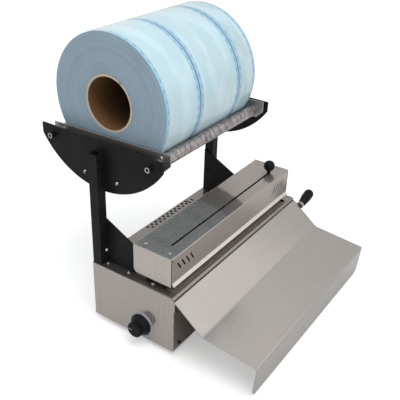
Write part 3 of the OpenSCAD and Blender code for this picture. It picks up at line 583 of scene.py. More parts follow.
@dataclass(frozen=True)
class FilmFace(RollFinish):
    """Side of a roll, where the edges of all the turns show as fine rings."""

    smear: float = 0.0004
    fine: float = 1500.0
    wide: float = 140.0
    clouds: float = 18.0
    shares: Triple = (0.4, 0.35, 0.25)
    tones: Range = (0.8, 1.15)
    tone_range: Range = (0.32, 0.68)
    roughness: Range = (0.45, 0.62)
    gloss: float = 0.4
    relief: Range = (0.2, 0.2 * MM)

    def lay(self, bench: NodeBench) -> None:
        """Wires fine rings and a few wider ones.

        Args:
            bench: Bench of the material.
        """
        _, turn, reach = self.place.polar(bench)
        ring = bench.add("ShaderNodeCombineXYZ")
        bench.feed(ring.inputs[0], reach)
        bench.feed(ring.inputs[1], bench.times(turn, self.smear))
        fine = bench.noise(ring.outputs[0], self.fine, 2.0)
        wide = bench.noise(ring.outputs[0], self.wide)
        cloud = bench.noise(bench.place(), self.clouds)
        parts = [bench.times(part, share) for part, share in zip((fine, wide, cloud), self.shares)]
        tone = bench.maths("ADD", parts[0], bench.maths("ADD", parts[1], parts[2]))
        bench.dress(Base_Color=bench.mottle(tone, self.colour, self.tones, self.tone_range),
                    Roughness=bench.spread(wide, self.roughness), Specular_IOR_Level=self.gloss)
        bench.relief(fine, *self.relief)


@dataclass(frozen=True)
class CoreCard(RollFinish):
    """Spiral-wound cardboard with fibres and the line of the wrap."""

    pitch: float = 62 * MM
    joint_width: float = 0.025
    joint_share: float = 0.5
    joint_tone: float = 0.3
    open_end: float = 0.0
    # painted shade: the card darkens with depth from the open end of the tube
    depth_shade_share: Spread = ((0.0, 0.72), (6 * MM, 62 * MM))
    depth_shade_tone: float = 0.08
    fibre_waves: Triple = (260, 900, 900)
    tones: Range = (0.78, 1.18)
    roughness: Range = (0.7, 0.9)
    gloss: float = 0.25
    relief: Range = (0.25, 0.3 * MM)

    def lay(self, bench: NodeBench) -> None:
        """Wires fibres, the spiral joint and painted shade that darkens the card deeper in the tube.

        Args:
            bench: Bench of the material.
        """
        along, turn, _ = self.place.polar(bench)
        wrap = bench.maths("FRACT", bench.maths("ADD", bench.maths("DIVIDE", along, self.pitch), turn))
        joint = bench.maths("LESS_THAN", wrap, self.joint_width)
        fibre = bench.noise(bench.place(self.fibre_waves), detail=4.0)
        tone = bench.mottle(fibre, self.colour, self.tones)
        deep = bench.maths("ABSOLUTE", bench.maths("SUBTRACT", along, self.open_end))
        # painted shade: darker deeper in the tube, away from its open end
        tone = bench.blend(bench.spread(deep, *self.depth_shade_share), tone, shade(self.colour, self.depth_shade_tone))
        tone = bench.blend(bench.times(joint, self.joint_share), tone, shade(self.colour, self.joint_tone))
        bench.dress(Base_Color=tone, Roughness=bench.spread(fibre, self.roughness),
                    Specular_IOR_Level=self.gloss)
        bench.relief(bench.maths("SUBTRACT", fibre, joint), *self.relief)


STAINLESS_X = BrushedSteel("satin_stainless_long", "stainless", (0.39, 0.36, 0.338), bow=(-0.08, 0.0, 0.0))
TRAY_STEEL = BrushedSteel("satin_stainless_tray", "stainless", (0.45, 0.425, 0.397), roughness=(0.12, 0.18),
                          cloth=0.02, cloth_roughness=0.06)
# painted shade: the tray's front flange gets a darker copy of its steel
FLANGE_SHADED_STEEL = replace(TRAY_STEEL, name="satin_stainless_flange_shaded", colour=(0.38, 0.362, 0.336))
# painted light: the head cover's front faces get a lighter copy of its steel
FRONT_LIT_STEEL = BrushedSteel("satin_stainless_front_lit", "stainless", (0.47, 0.433, 0.405), roughness=(0.26, 0.34),
                           cloth=0.02, cloth_roughness=0.04)
# painted highlight: the lip is a much lighter copy of the front steel
LIP_HIGHLIGHT_STEEL = replace(FRONT_LIT_STEEL, name="satin_stainless_lip_highlight", colour=(0.75, 0.7, 0.66))
HEAD_END = BrushedSteel("satin_stainless_head_end", "stainless", (0.58, 0.54, 0.505), grain=Grain.ALONG_Z)
# painted shade: the case top gets a darker steel, standing for shade and dark reflections of the rack and
# rolls
TOP_SHADED_STEEL = BrushedSteel("satin_stainless_top_shaded", "stainless", (0.31, 0.288, 0.27))
PAN_STEEL = BrushedSteel("dull_stainless_pan", "stainless", (0.38, 0.35, 0.32), roughness=(0.3, 0.4))
# painted shade: near-black steel for the vent walls, the head floor and the front edges of the head ends,
# where shade falls
SHADOW_STEEL = BrushedSteel("painted_shadow_stainless", "stainless", (0.13, 0.12, 0.11), roughness=(0.3, 0.4))
STAINLESS_Z = BrushedSteel("satin_stainless_end", "stainless", (0.485, 0.45, 0.42), grain=Grain.ALONG_Z)
RAIL_STEEL = BrushedSteel("rail_stainless", "stainless", (0.42, 0.41, 0.4), grain=Grain.ALONG_Y,
                          roughness=(0.3, 0.4), cloth=0.0, cloth_roughness=0.03)
MACHINED = BrushedSteel("machined_steel", "steel_parts", (0.48, 0.48, 0.48), roughness=(0.24, 0.36),
                        anisotropy=0.2)
# painted shade: near-black steel for the spacers under the head, which sit in shadow
SPACER_SHADE_STEEL = BrushedSteel("shaded_spacer_steel", "steel_parts", (0.09, 0.085, 0.08), roughness=(0.35, 0.5))
EXTRUDED = BrushedSteel("extruded_aluminium", "aluminium", (0.5, 0.5, 0.5), roughness=(0.28, 0.4),
                        anisotropy=0.3)
DARK_ALLOY = BrushedSteel("dark_anodised", "dark_alloy", (0.05, 0.05, 0.052), roughness=(0.35, 0.5),
                          anisotropy=0.2)
BARE_ELEMENT = BrushedSteel("element_ribbon", "element", (0.4, 0.32, 0.26), anisotropy=0.2)
SCALE_METAL = Moulding("scale_enamel", "scale", (0.42, 0.41, 0.47), roughness=(0.3, 0.4), gloss=0.4)
BRIGHT = PolishedSteel("turned_steel", "bright_steel", (0.55, 0.54, 0.52))
CHROME = PolishedSteel("chrome", "bright_steel", (0.7, 0.7, 0.7), roughness=(0.06, 0.12))
BOLT_STEEL = PolishedSteel("bolt_steel", "bright_steel", (0.4, 0.39, 0.37), roughness=(0.25, 0.35))
SCREW_STEEL = PolishedSteel("screw_steel", "bright_steel", (0.46, 0.45, 0.43), roughness=(0.2, 0.3))
PLATE_SCREW = PolishedSteel("plate_screw_steel", "bright_steel", (0.42, 0.4, 0.38), roughness=(0.22, 0.32))
TUBE = BandedTube("banded_tube", "bright_steel", (0.42, 0.38, 0.37))
BRONZE = PolishedSteel("bush_bronze", "bronze", (0.55, 0.38, 0.18), roughness=(0.2, 0.3))
BLACK_COAT = PowderCoat("black_powder_coat", "black_paint", (0.01, 0.01, 0.0105), gloss=0.1)
BLACK_PLASTIC = Moulding("moulded_black", "black_plastic", (0.007, 0.007, 0.0075), gloss=0.1)
RUBBER = Moulding("foot_rubber", "rubber", (0.02, 0.02, 0.02), roughness=(0.6, 0.75), gloss=0.3, skin=900.0)
PAD_SILICONE = Moulding("pad_silicone", "silicone", (0.21, 0.175, 0.14), roughness=(0.45, 0.6), gloss=0.25)
CERAMIC = Moulding("hanger_ceramic", "ceramic", (0.8, 0.78, 0.72), roughness=(0.4, 0.55))
PTFE = Moulding("nonstick_strip", "ptfe", (0.36, 0.26, 0.14), roughness=(0.3, 0.42))
WHITE_INK = Moulding("white_ink", "scale", (0.75, 0.75, 0.73), roughness=(0.4, 0.5), gloss=0.3)
DARK_INK = Moulding("dark_ink", "black_plastic", (0.02, 0.02, 0.025), roughness=(0.4, 0.5), gloss=0.3)
# painted shade: near-black card for the mid roll's core, which lies deep in shade inside the rolls
SHADED_CORE_CARD: Colour = (0.03, 0.016, 0.008)


class Shape:
    """A mesh under work, and the operators that shape it."""

    def __init__(self) -> None:
        """Starts with an empty mesh."""
        self.bm = bmesh.new()

    @classmethod
    def copy_of(cls, node: str) -> "Shape":
        """Copies a CAD node, joins its loose triangles and clears the flat faces.

        Args:
            node: Name of the node.

        Returns:
            The new shape.
        """
        shape = cls()
        bm = shape.bm
        bm.from_mesh(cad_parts[node].data)
        bmesh.ops.remove_doubles(bm, verts=bm.verts, dist=MERGE)
        bmesh.ops.dissolve_limit(bm, angle_limit=FLAT, use_dissolve_boundaries=False,
                                 verts=bm.verts, edges=bm.edges, delimit={"NORMAL"})
        return shape

    @classmethod
    def softened(cls, node: str, edge: float, fold: float = 0.0) -> "Shape":
        """Copies a CAD node with rounded folds and broken edges.

        Args:
            node: Name of the node.
            edge: Round of the plain edges.
            fold: Round of the folds of a bent sheet, or 0.

        Returns:
            The new shape.
        """
        shape = cls.copy_of(node)
        if fold:
            shape.soften(shape.folds(), fold, FOLD_STEPS)
        return shape.soften(shape.sharp(), edge)

    def sharp(self, least: float = 32.0, most: float = 180.0) -> Edges:
        """Gives the edges that turn by an angle in degrees between two limits."""
        low, high = math.radians(least), math.radians(most)
        return [e for e in self.bm.edges if len(e.link_faces) == 2 and low < e.calc_face_angle(0.0) <= high]

    def folds(self, angle: float = 4.0, length: float = 200 * MM, width: float = 3.4 * MM) -> Edges:
        """Gives the long edges where two wide panels of a sheet meet.

        Args:
            angle: Least turn in degrees.
            length: Least length of the edge.
            width: Least width of both panels.

        Returns:
            The edges.
        """
        found = []
        for edge in self.sharp(angle):
            size = edge.calc_length()
            if size > length and all(face.calc_area() / size > width for face in edge.link_faces):
                found.append(edge)
        return found

    def soften(self, edges: Edges, offset: float, segments: int = 2) -> "Shape":
        """Rounds edges.

        Args:
            edges: Edges to round.
            offset: Width of the round on each side.
            segments: Faces across the round.

        Returns:
            This shape.
        """
        if edges:
            bmesh.ops.bevel(self.bm, geom=edges, offset=offset, offset_type="OFFSET", segments=segments,
                            profile=0.5, affect="EDGES", clamp_overlap=False, material=-1)
        return self

    def spin(self, profile: Sequence[Range], axis: Vector, centre: Vector, steps: int) -> "Shape":
        """Turns a closed outline about an axis.

        Args:
            profile: Points as distance along the axis and radius.
            axis: Direction of the axis.
            centre: Start of the axis.
            steps: Faces round the axis.

        Returns:
            This shape.
        """
        along = axis.normalized()
        out = along.orthogonal().normalized()
        verts = [self.bm.verts.new(centre + along * a + out * r) for a, r in profile]
        edges = [self.bm.edges.new(pair) for pair in zip(verts, verts[1:] + verts[:1])]
        bmesh.ops.spin(self.bm, geom=verts + edges, cent=centre, axis=along, dvec=(0, 0, 0),
                       angle=math.tau, steps=steps, use_merge=True, use_duplicate=False)
        bmesh.ops.remove_doubles(self.bm, verts=self.bm.verts, dist=MERGE)
        bmesh.ops.recalc_face_normals(self.bm, faces=self.bm.faces)
        return self

    def block(self, low: Vector, high: Vector, turn: Matrix = Matrix.Identity(4)) -> "Shape":
        """Adds a box between two corners.

        Args:
            low: Lowest corner.
            high: Highest corner.
            turn: Turn or shift of the finished box.

        Returns:
            This shape.
        """
        size, middle = high - low, (low + high) / 2
        matrix = Matrix.Translation(middle) @ Matrix.Diagonal((*size, 1.0))
        bmesh.ops.create_cube(self.bm, size=1.0, matrix=turn @ matrix)
        return self

    def coil(self, start: Vector, radius: float, wire: float, rise: float, turns: int,
             sides: int = 8, steps: int = 24) -> "Shape":
        """Winds an upright spring.

        Args:
            start: Middle of its lowest turn.
            radius: Radius of the middle of the wire.
            wire: Radius of the wire.
            rise: Height from the lowest to the highest wire.
            turns: Count of the turns.
            sides: Faces round the wire.
            steps: Faces along one turn.

        Returns:
            This shape.
        """
        matrix = Matrix.Translation(start + Vector((radius, 0, 0))) @ Matrix.Rotation(math.pi / 2, 4, "X")
        made = bmesh.ops.create_circle(self.bm, radius=wire, segments=sides, cap_ends=False, matrix=matrix)
        ring = made["verts"]
        edges = list({edge for vert in ring for edge in vert.link_edges})
        bmesh.ops.spin(self.bm, geom=ring + edges, cent=start, axis=(0, 0, 1),
                       dvec=(0, 0, rise / (turns * steps)), angle=math.tau * turns, steps=turns * steps,
                       use_merge=False, use_duplicate=False)
        bmesh.ops.holes_fill(self.bm, edges=[e for e in self.bm.edges if e.is_boundary], sides=sides)
        bmesh.ops.recalc_face_normals(self.bm, faces=self.bm.faces)
        return self

    def paint(self, rule: Rule) -> "Shape":
        """Gives each face the number of its finish.

        Args:
            rule: Gives the number for a face.

        Returns:
            This shape.
        """
        for face in self.bm.faces:
            face.material_index = int(rule(face))
        return self

    def brush(self, grain: Grain) -> "Shape":
        """Lays a flat map on each face whose first direction follows the hairlines.

        Args:
            grain: Direction of the hairlines.

        Returns:
            This shape.
        """
        layer = self.bm.loops.layers.uv.new(BRUSH_MAP)
        for face in self.bm.faces:
            across = max(range(3), key=lambda axis: abs(face.normal[axis]))
            flat = [axis for axis in (grain.axis(), 0, 1, 2) if axis != across]
            first = flat[0]
            second = next(axis for axis in flat if axis != first)
            for loop in face.loops:
                loop[layer].uv = (loop.vert.co[first], loop.vert.co[second])
        return self

    def stand_in(self, node: str, body: str, *finishes: Finish) -> None:
        """Makes the finished piece that stands for a CAD node of its own name."""
        self.brush(finishes[0].grain).piece(f"{node}_finished", body, finishes, [node])

    def piece(self, name: str, body: str, finishes: Sequence[Finish], replaces: Iterable[str] = (),
              level: bool = True) -> bpy.types.Object:
        """Makes the finished piece.

        Args:
            name: Name of the piece.
            body: CAD body that it rides on.
            finishes: Finishes by material index.
            replaces: CAD nodes that it stands for.
            level: Whether wide faces keep their own normals.

        Returns:
            The object.
        """
        mesh = bpy.data.meshes.new(name)
        self.bm.to_mesh(mesh)
        self.bm.free()
        mesh.shade_smooth()
        mesh.set_sharp_from_angle(angle=CREASE)
        for finish in finishes:
            mesh.materials.append(finish.material())
        made = bpy.data.objects.new(name, mesh)
        bpy.context.scene.collection.objects.link(made)
        if level:
            made.modifiers.new("level_faces", "WEIGHTED_NORMAL").keep_sharp = True
        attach(made, body)
        if replaces:
            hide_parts(*replaces)
        LOG.info("%s: %d faces on %s", name, len(mesh.polygons), body)
        return made


def dress(node: str, body: str, *finishes: Finish, edge: float = EDGE, fold: float = 0.0,
          rule: Rule = lambda face: 0) -> None:
    """Makes a finished copy of a CAD node, with rounded folds and edges and a rule for its finishes."""
    Shape.softened(node, edge, fold).paint(rule).stand_in(node, body, *finishes)


@dataclass
class Screws:
    """Cross-headed screws of one sub-assembly."""

    node: str
    finishes: Sequence[Finish] = (SCREW_STEEL,)
    body: str = "machine"
    rim: float = 0.2 * MM
    rim_angles: Range = (40.0, 75.0)

    def kind(self, face: bmesh.types.BMFace) -> int:
        """Gives the number of the finish of a screw."""
        return 0

    def build(self) -> None:
        """Builds the screws with rounded rims and open recesses."""
        shape = Shape.copy_of(self.node)
        shape.soften(shape.sharp(*self.rim_angles), self.rim)
        shape.paint(self.kind).stand_in(self.node, self.body, *self.finishes)


@dataclass
class CaseScrews(Screws):
    """Screws of the case: dull ones on its top, black ones low in its front wall."""

    finishes: Sequence[Finish] = (PLATE_SCREW, BLACK_COAT)
    front_row: float = 40 * MM

    def kind(self, face: bmesh.types.BMFace) -> int:
        """Gives the number of the finish of a screw by its height."""
        return int(face.calc_center_median().z < self.front_row)


@dataclass
class RackScrews(Screws):
    """Screws of the rack: black ones in the gussets, bright ones in the posts' faces, grey ones above."""

    finishes: Sequence[Finish] = (PLATE_SCREW, BLACK_COAT, BRIGHT)
    low_end: float = 200 * MM
    face_row: Range = (120 * MM, 135 * MM)

    def kind(self, face: bmesh.types.BMFace) -> int:
        """Gives the number of the finish of a screw by its height."""
        height = face.calc_center_median().z
        return 2 if self.face_row[0] < height < self.face_row[1] else int(height < self.low_end)


@dataclass
class BaseCase:
    """Folded sheet case with its screws and feet."""

    body: str = "machine"
    fold: float = 1.2 * MM
    wall_area: float = 30 * MM * MM
    wall_lean: float = 0.75

    def build(self) -> None:
        """Builds the case."""
        dress("base_pan", self.body, PAN_STEEL, fold=self.fold)
        dress("base_top", self.body, TOP_SHADED_STEEL, SHADOW_STEEL, edge=0.2 * MM, fold=self.fold, rule=self.cut_wall)
        for node in ("base_left_end", "base_right_end"):
            dress(node, self.body, STAINLESS_Z)
        dress("feet", self.body, RUBBER, edge=0.6 * MM)
        CaseScrews("case_screws").build()

    def cut_wall(self, face: bmesh.types.BMFace) -> int:
        """Gives 1 for the walls of the vents and slots in the top, which get painted shade."""
        return int(abs(face.normal.z) < self.wall_lean and face.calc_area() < self.wall_area)


@dataclass
class SealingHead:
    """Folded head with its end plates, heater and cutter rail."""

    body: str = "machine"
    fold: float = 1.6 * MM
    edge: float = 0.2 * MM
    front: float = -0.5
    lip_lean: float = 0.3
    lip_top: float = 124 * MM

    def build(self) -> None:
        """Builds the head: its front is duller than its top and painted lighter, its lip gets a painted
        highlight, and the cut front edges of its ends get painted shade.
        """
        dress("head_cover", self.body, STAINLESS_X, FRONT_LIT_STEEL, LIP_HIGHLIGHT_STEEL, edge=self.edge, fold=self.fold,
              rule=self.panel)
        for node in ("head_left_end", "head_right_end"):
            # painted shade: the front edges of the ends are dark, standing for the shadow in the seam
            dress(node, self.body, HEAD_END, SHADOW_STEEL, edge=self.edge, rule=self.faces_front)
        dress("head_floor", self.body, SHADOW_STEEL)
        dress("head_spacers", self.body, SPACER_SHADE_STEEL)
        Screws("head_screws").build()
        dress("heater_bar", self.body, DARK_ALLOY, edge=0.5 * MM)
        dress("heater_hangers", self.body, CERAMIC)
        dress("heating_element", self.body, BARE_ELEMENT, edge=0.1 * MM)
        dress("ptfe_strip", self.body, PTFE, edge=0.1 * MM)
        dress("thermal_sensor", self.body, MACHINED)
        dress("cutter_rail", self.body, DARK_ALLOY)

    def faces_front(self, face: bmesh.types.BMFace) -> int:
        """Gives 1 for a face that looks to the front."""
        return int(face.normal.y < self.front)

    def panel(self, face: bmesh.types.BMFace) -> int:
        """Gives 1 for the front of the cover, painted lighter, and 2 for its lip, which gets a painted
        highlight.
        """
        lip = face.normal.z > self.lip_lean and face.calc_center_median().z < self.lip_top
        return self.faces_front(face) * (2 if lip else 1)


@dataclass
class DeliveryTray:
    """Bent tray in front of the case."""

    body: str = "machine"
    fold: float = 2.4 * MM
    front: float = -0.9

    def build(self) -> None:
        """Builds the tray."""
        dress("tray", self.body, TRAY_STEEL, FLANGE_SHADED_STEEL, edge=0.2 * MM, fold=self.fold, rule=self.flange)

    def flange(self, face: bmesh.types.BMFace) -> int:
        """Gives 1 for the front flange, which gets painted shade."""
        return int(face.normal.y < self.front)


@dataclass
class Press:
    """Press bar with its pad, shaft, cams, guides and springs."""

    body: str = "machine"
    coated: float = 6 * MM
    wire: float = 0.5 * MM
    turns: int = 7
    lift: float = 8.6 * MM

    def build(self) -> None:
        """Builds the press."""
        for node in ("press_guides", "shaft_bearing"):
            dress(node, self.body, MACHINED)
        self.springs()
        dress("shaft_bush", self.body, BRONZE)
        self.bar()
        dress("press_pad", "press", PAD_SILICONE, edge=0.6 * MM)
        for node in ("press_shaft", "press_cams"):
            dress(node, "lever", MACHINED)

    def springs(self) -> None:
        """Winds the two return springs at one fixed length, though the real springs shorten as the press
        rises.
        """
        low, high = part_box("return_springs")
        length, reach = high.z - low.z, (high.y - low.y) / 2
        shape = Shape()
        for x in (low.x + reach, high.x - reach):
            start = Vector((x, (low.y + high.y) / 2, low.z + self.wire))
            shape.coil(start, reach - self.wire, self.wire, length - 2 * self.wire, self.turns)
        shape.brush(Grain.ALONG_Z)
        made = shape.piece("return_springs_wound", self.body, [MACHINED], ["return_springs"], level=False)
        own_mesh(made)

    def bar(self) -> None:
        """Builds the press bar, whose top is coated like its pad."""
        shape = Shape.softened("press_bar", 0.5 * MM)
        coat = max(vert.co.z for vert in shape.bm.verts) - self.coated
        shape.paint(lambda face: int(face.calc_center_median().z > coat))
        shape.stand_in("press_bar", "press", EXTRUDED, PAD_SILICONE)


@dataclass
class Lever:
    """Lever arm with its rod and grip."""

    body: str = "lever"

    def build(self) -> None:
        """Builds the lever."""
        dress("lever_arm", self.body, MACHINED)
        dress("lever_rod", self.body, CHROME)
        dress("lever_grip", self.body, BLACK_PLASTIC, edge=0.5 * MM)


@dataclass
class Cutter:
    """Sliding cutter with its ball knob."""

    body: str = "cutter"

    def build(self) -> None:
        """Builds the cutter."""
        dress("cutter_carriage", self.body, BLACK_PLASTIC)
        dress("cutter_blade", self.body, BRIGHT, edge=0.1 * MM)
        dress("cutter_knob", self.body, BLACK_PLASTIC, edge=0.1 * MM)


@dataclass
class Dial:
    """Temperature dial on the left end."""

    body: str = "dial"
    ticks: int = 21
    major_step: int = 5
    sweep: float = 270.0
    tick_start: Range = (0.87, 0.835)
    tick_end: float = 0.96
    tick_half: Range = (0.4 * MM, 0.7 * MM)
    ink: Range = (-0.08 * MM, 0.05 * MM)
    notch_depth: float = 0.6 * MM
    notch_reach: Range = (4 * MM, 11.6 * MM)
    paint: Range = (-0.3 * MM, 0.1 * MM)
    paint_half: float = 0.5 * MM
    paint_edge: float = 0.1 * MM

    def build(self) -> None:
        """Builds the scale, its marks, the knob and the thermostat."""
        dress("scale_disc", "machine", SCALE_METAL)
        dress("dial_knob", self.body, BLACK_PLASTIC, edge=0.15 * MM)
        dress("thermostat_body", "machine", BLACK_PLASTIC, edge=0.8 * MM)
        self.marks()
        self.pointer()

    def marks(self) -> None:
        """Lays the ring of scale marks, every fifth one longer and wider."""
        low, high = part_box("scale_disc")
        middle = (low + high) / 2
        radius = (high.y - low.y) / 2
        shape = Shape()
        for i in range(self.ticks):
            angle = math.radians(-self.sweep / 2 + self.sweep * i / (self.ticks - 1))
            turn = Matrix.Translation(Vector((low.x, middle.y, middle.z))) @ Matrix.Rotation(angle, 4, "X")
            major = int(i % self.major_step == 0)
            half = self.tick_half[major]
            shape.block(Vector((self.ink[0], -half, radius * self.tick_start[major])),
                        Vector((self.ink[1], half, radius * self.tick_end)), turn)
        shape.piece("scale_marks", "machine", [DARK_INK], level=False)

    def pointer(self) -> None:
        """Fills the notch of the knob with white paint."""
        low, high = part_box("dial_knob")
        middle = (low + high) / 2
        floor = low.x + self.notch_depth
        corners = [Vector((floor + self.paint[i], middle.y + self.notch_reach[i],
                           middle.z + side * self.paint_half))
                   for i, side in enumerate((-1, 1))]
        shape = Shape().block(*corners)
        shape.soften(shape.sharp(), self.paint_edge)
        shape.piece("dial_pointer", self.body, [WHITE_INK], level=False)


@dataclass
class RearPanel:
    """Cord gland and power rocker on the rear wall."""

    body: str = "machine"
    tilt: float = -8.0
    half_depth: float = 4 * MM
    mark_place: float = 5.2 * MM
    ink: float = 0.06 * MM
    bar_half: Range = (0.45 * MM, 1.9 * MM)
    ring: Range = (1.4 * MM, 2.1 * MM)
    ring_steps: int = 32

    def build(self) -> None:
        """Builds the rear fittings."""
        dress("cord_gland", self.body, BLACK_PLASTIC, edge=0.6 * MM)
        dress("switch_body", self.body, BLACK_PLASTIC)
        dress("power_rocker", "rocker", BLACK_PLASTIC, edge=0.6 * MM)
        self.rocker_marks()

    def rocker_marks(self) -> None:
        """Lays the bar and the ring that mark on and off."""
        low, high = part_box("power_rocker")
        face = Vector((0.0, self.half_depth, 0.0))
        turn = Matrix.Translation((low + high) / 2) @ Matrix.Rotation(math.radians(self.tilt), 4, "X")
        bar = Vector((self.bar_half[0], self.ink, self.bar_half[1]))
        rise = Vector((0.0, 0.0, self.mark_place))
        inner, outer = self.ring
        outline = [(-self.ink, inner), (self.ink, inner), (self.ink, outer), (-self.ink, outer)]
        shape = Shape().spin(outline, face, face - rise, self.ring_steps)
        shape.bm.transform(turn)
        shape.block(face + rise - bar, face + rise + bar, turn)
        shape.piece("rocker_marks", "rocker", [WHITE_INK], level=False)


@dataclass
class RollRack:
    """Rack of posts, plates, rails and tubes."""

    body: str = "machine"
    edge: float = 0.4 * MM
    bright_end: float = 0.4 * MM

    def build(self) -> None:
        """Builds the rack."""
        for side in ("left", "right"):
            for part in ("post", "gusset", "plate"):
                dress(f"{side}_{part}", self.body, BLACK_COAT, edge=self.edge)
            dress(f"{side}_rail", self.body, RAIL_STEEL)
        dress("plate_stiffeners", self.body, BLACK_COAT, edge=self.edge)
        for node in ("front_tube", "rear_tube"):
            dress(node, self.body, TUBE)
        dress("tube_spacers", self.body, BRIGHT)
        RackScrews("rack_screws").build()
        self.bolts()

    def bolts(self) -> None:
        """Builds the cap bolts: their outer end faces stay bright steel and the rest is black as painted
        reflection and shade from the black plate.
        """
        shape = Shape.softened("tube_bolts", EDGE)
        ends = [side(vert.co.x for vert in shape.bm.verts) for side in (min, max)]
        # painted reflection and shade: all but the outer end faces are black, standing for the black plate
        # mirrored in the bolt heads
        shape.paint(lambda face: int(self.bright_end < min(abs(face.calc_center_median().x - x) for x in ends)))
        shape.stand_in("tube_bolts", self.body, BOLT_STEEL, BLACK_COAT)


@dataclass
class PouchRoll:
    """One roll of pouch film on its cardboard core."""

    side: RollSide
    steps: int = 160
    film_colour: Colour = (0.465, 0.675, 0.76)
    face_colour: Colour = (0.265, 0.36, 0.435)
    card_colour: Colour = (0.2, 0.1, 0.042)
    rim_colour: Colour = (0.5, 0.45, 0.39)
    # painted shade: tone darkens the whole film of a roll, for rolls that get less light
    tone: float = 1.0
    card_wall: float = 4 * MM
    corner: float = 60.0
    round: float = 0.8 * MM
    round_steps: int = 3
    end_lean: float = 0.6
    turns: int = 26
    slip: float = 0.28 * MM
    seam: float = 7.5 * MM
    seam_slope: float = 2 * MM
    sink: float = 0.3 * MM
    stations: int = 8

    def build(self) -> None:
        """Builds the film and its core."""
        name = self.side.value
        film, core = f"{name}_roll_film", f"{name}_roll_core"
        low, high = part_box(film)
        middle = (low + high) / 2
        place = RollPlace(low.x, high.x, middle.y, middle.z)
        # painted shade: the film colour is scaled by the roll's tone
        skin = FilmSkin(f"film_skin_{name}", "film", shade(self.film_colour, self.tone), place=place)
        face = FilmFace(f"film_face_{name}", "film", self.face_colour, place=place)
        end = high.x if self.side is RollSide.RIGHT else low.x
        card = CoreCard(f"core_card_{name}", "card", self.card_colour, place=place, open_end=end)
        rim = replace(card, name=f"core_rim_{name}", colour=self.rim_colour)
        core_low, core_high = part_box(core)
        outer, inner = (high.z - low.z) / 2, (core_high.z - core_low.z) / 2
        bore = inner - self.card_wall
        self.ring(film, self.film_outline(place, outer, inner), middle, [skin, face])
        self.ring(core, [(low.x, inner), (low.x, bore), (high.x, bore), (high.x, inner)], middle, [card, rim])

    def film_outline(self, place: RollPlace, outer: float, inner: float) -> list[Range]:
        """Gives the outline of the wound film, with slipped turns at its ends and thinner seams at its edges.

        Args:
            place: Place of the roll.
            outer: Outer radius.
            inner: Inner radius.

        Returns:
            Points as distance along the axis and radius.
        """
        chance = random.Random(self.side.value)
        reach = [inner + (outer - inner) * i / self.turns for i in range(self.turns + 1)]
        left = [(place.left + self.slip * chance.random() ** 2, r) for r in reach]
        right = [(place.right - self.slip * chance.random() ** 2, r) for r in reversed(reach)]
        low, width = outer - self.sink, place.right - place.left
        left[-1], right[0] = (place.left, low), (place.right, low)
        middle = [(place.left + width * k / self.stations, outer - self.sink * chance.random() / 2)
                  for k in range(2, self.stations - 1)]
        skin = [(place.left + self.seam, low), (place.left + self.seam + self.seam_slope, outer), *middle,
                (place.right - self.seam - self.seam_slope, outer), (place.right - self.seam, low)]
        return left + skin + right

    def ring(self, node: str, outline: Sequence[Range], middle: Vector, finishes: Sequence[Finish]) -> None:
        """Builds one wound ring that stands for a CAD node.

        Args:
            node: CAD node.
            outline: Points as distance along the axis and radius.
            middle: Centre of the roll.
            finishes: Finishes of the skin and of the ends.
        """
        shape = Shape().spin(outline, Vector((1, 0, 0)), Vector((0.0, middle.y, middle.z)), self.steps)
        shape.soften(shape.sharp(self.corner), self.round, self.round_steps)
        shape.paint(lambda face: int(abs(face.normal.x) > self.end_lean))
        shape.piece(f"{node}_wound", f"{self.side.value}_roll", finishes, [node])


@dataclass(frozen=True)
class Lamp:
    """One soft square lamp that looks at the object."""

    name: str
    place: Triple
    size: float
    power: float
    target: Triple = (0.0, 0.0, 0.2)

    def build(self) -> None:
        """Hangs the lamp."""
        data = bpy.data.lights.new(self.name, "AREA")
        data.shape = "SQUARE"
        data.size = self.size
        data.energy = self.power
        made = bpy.data.objects.new(self.name, data)
        made.location = self.place
        made.rotation_euler = (Vector(self.target) - Vector(self.place)).to_track_quat("-Z", "Y").to_euler()
        bpy.context.scene.collection.objects.link(made)


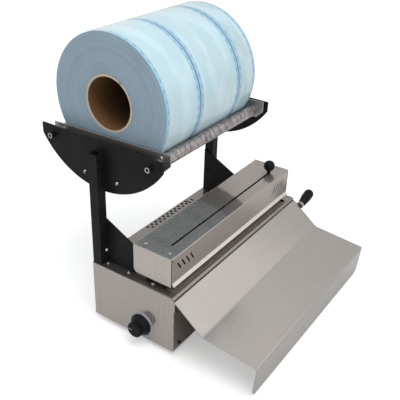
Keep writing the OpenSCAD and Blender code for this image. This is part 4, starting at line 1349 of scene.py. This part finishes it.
@dataclass
class Studio:
    """Pale floor, soft light and the camera of the photograph."""

    camera_place: Triple = (-0.76008, -0.49197, 0.67606)
    right: Triple = (0.56435, -0.82485, 0.03355)
    down: Triple = (-0.39441, -0.30511, -0.86681)
    ahead: Triple = (0.72522, 0.47595, -0.49752)
    focal: float = 57.87
    sensor: float = 36.0
    lamps: Sequence[Lamp] = (Lamp("key", (-0.45, -0.65, 2.2), 1.4, 20.0),
                             Lamp("front_fill", (1.0, -1.15, 1.15), 1.0, 0.9))
    ambient: float = 0.75
    side_range: Range = (0.66, 0.84)
    side_level: float = 0.74
    floor_reach: float = 6.0
    floor_grey: float = 0.82
    floor_glow: float = 0.36

    def build(self) -> None:
        """Builds the camera, the light and the floor."""
        self.camera()
        self.world()
        for lamp in self.lamps:
            lamp.build()
        self.floor()
        bpy.context.scene.view_settings.view_transform = "Standard"

    def camera(self) -> None:
        """Places the camera."""
        data = bpy.data.cameras.new("photo_camera")
        data.sensor_fit = "HORIZONTAL"
        data.sensor_width = self.sensor
        data.lens = self.focal
        made = bpy.data.objects.new("photo_camera", data)
        bpy.context.scene.collection.objects.link(made)
        columns = (Vector(self.right), -Vector(self.down), -Vector(self.ahead))
        matrix = Matrix([[c[i] for c in columns] for i in range(3)]).to_4x4()
        made.matrix_world = Matrix.Translation(self.camera_place) @ matrix
        bpy.context.scene.camera = made

    def world(self) -> None:
        """Makes surroundings that show white, light the object at a plain level and fade to one side."""
        world = bpy.data.worlds.new("studio_white")
        world.use_nodes = True
        wiring = Wiring(world.node_tree)
        rays = wiring.add("ShaderNodeLightPath").outputs
        seen = rays["Is Camera Ray"]
        for name in ("Is Glossy Ray", "Is Transmission Ray"):
            seen = wiring.maths("MAXIMUM", seen, rays[name])
        level = wiring.spread(seen, (self.ambient, 1.0), FULL)
        across = wiring.split(wiring.add("ShaderNodeTexCoord").outputs["Generated"])[0]
        side = wiring.spread(across, (1.0, self.side_level), self.side_range)
        side = wiring.maths("MAXIMUM", side, rays["Is Camera Ray"])
        back = wiring.tree.nodes["Background"]
        wiring.feed(back.inputs["Color"], WHITE)
        wiring.feed(back.inputs["Strength"], wiring.times(level, side))
        bpy.context.scene.world = world

    def floor(self) -> None:
        """Lays the pale floor, which shows white and keeps the shadow."""
        shape = Shape()
        bmesh.ops.create_grid(shape.bm, x_segments=1, y_segments=1, size=self.floor_reach)
        mesh = bpy.data.meshes.new("floor")
        shape.bm.to_mesh(mesh)
        shape.bm.free()
        mesh.materials.append(self.floor_material())
        made = bpy.data.objects.new("floor", mesh)
        bpy.context.scene.collection.objects.link(made)

    def floor_material(self) -> bpy.types.Material:
        """Makes a pale paint that glows for the camera alone.

        Returns:
            The material.
        """
        material = bpy.data.materials.new("pale_floor")
        material.use_nodes = True
        wiring = Wiring(material.node_tree)
        wiring.tree.nodes.clear()
        paint = wiring.add("ShaderNodeBsdfDiffuse")
        wiring.feed(paint.inputs["Color"], (*(self.floor_grey,) * 3, 1.0))
        glow = wiring.add("ShaderNodeEmission")
        wiring.feed(glow.inputs["Color"], WHITE)
        ray = wiring.add("ShaderNodeLightPath").outputs["Is Camera Ray"]
        wiring.feed(glow.inputs["Strength"], wiring.times(ray, self.floor_glow))
        both = wiring.add("ShaderNodeAddShader")
        wiring.feed(both.inputs[0], paint.outputs[0])
        wiring.feed(both.inputs[1], glow.outputs[0])
        wiring.feed(wiring.add("ShaderNodeOutputMaterial").inputs["Surface"], both.outputs[0])
        return material


def main() -> None:
    """Builds the studio and every sub-assembly."""
    logging.basicConfig(level=logging.INFO, format="%(name)s %(message)s")
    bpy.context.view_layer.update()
    Studio().build()
    for assembly in (BaseCase(), SealingHead(), DeliveryTray(), Press(), Lever(), Cutter(), Dial(),
                     RearPanel(), RollRack(), PouchRoll(RollSide.LEFT),
                     # painted shade: the mid and right rolls' film is darkened by tone, and the mid core gets
                     # near-black card
                     PouchRoll(RollSide.MID, tone=0.97, card_colour=SHADED_CORE_CARD),
                     PouchRoll(RollSide.RIGHT, tone=0.84)):
        LOG.info("building %s", type(assembly).__name__)
        assembly.build()


if __name__ == "__main__":
    main()
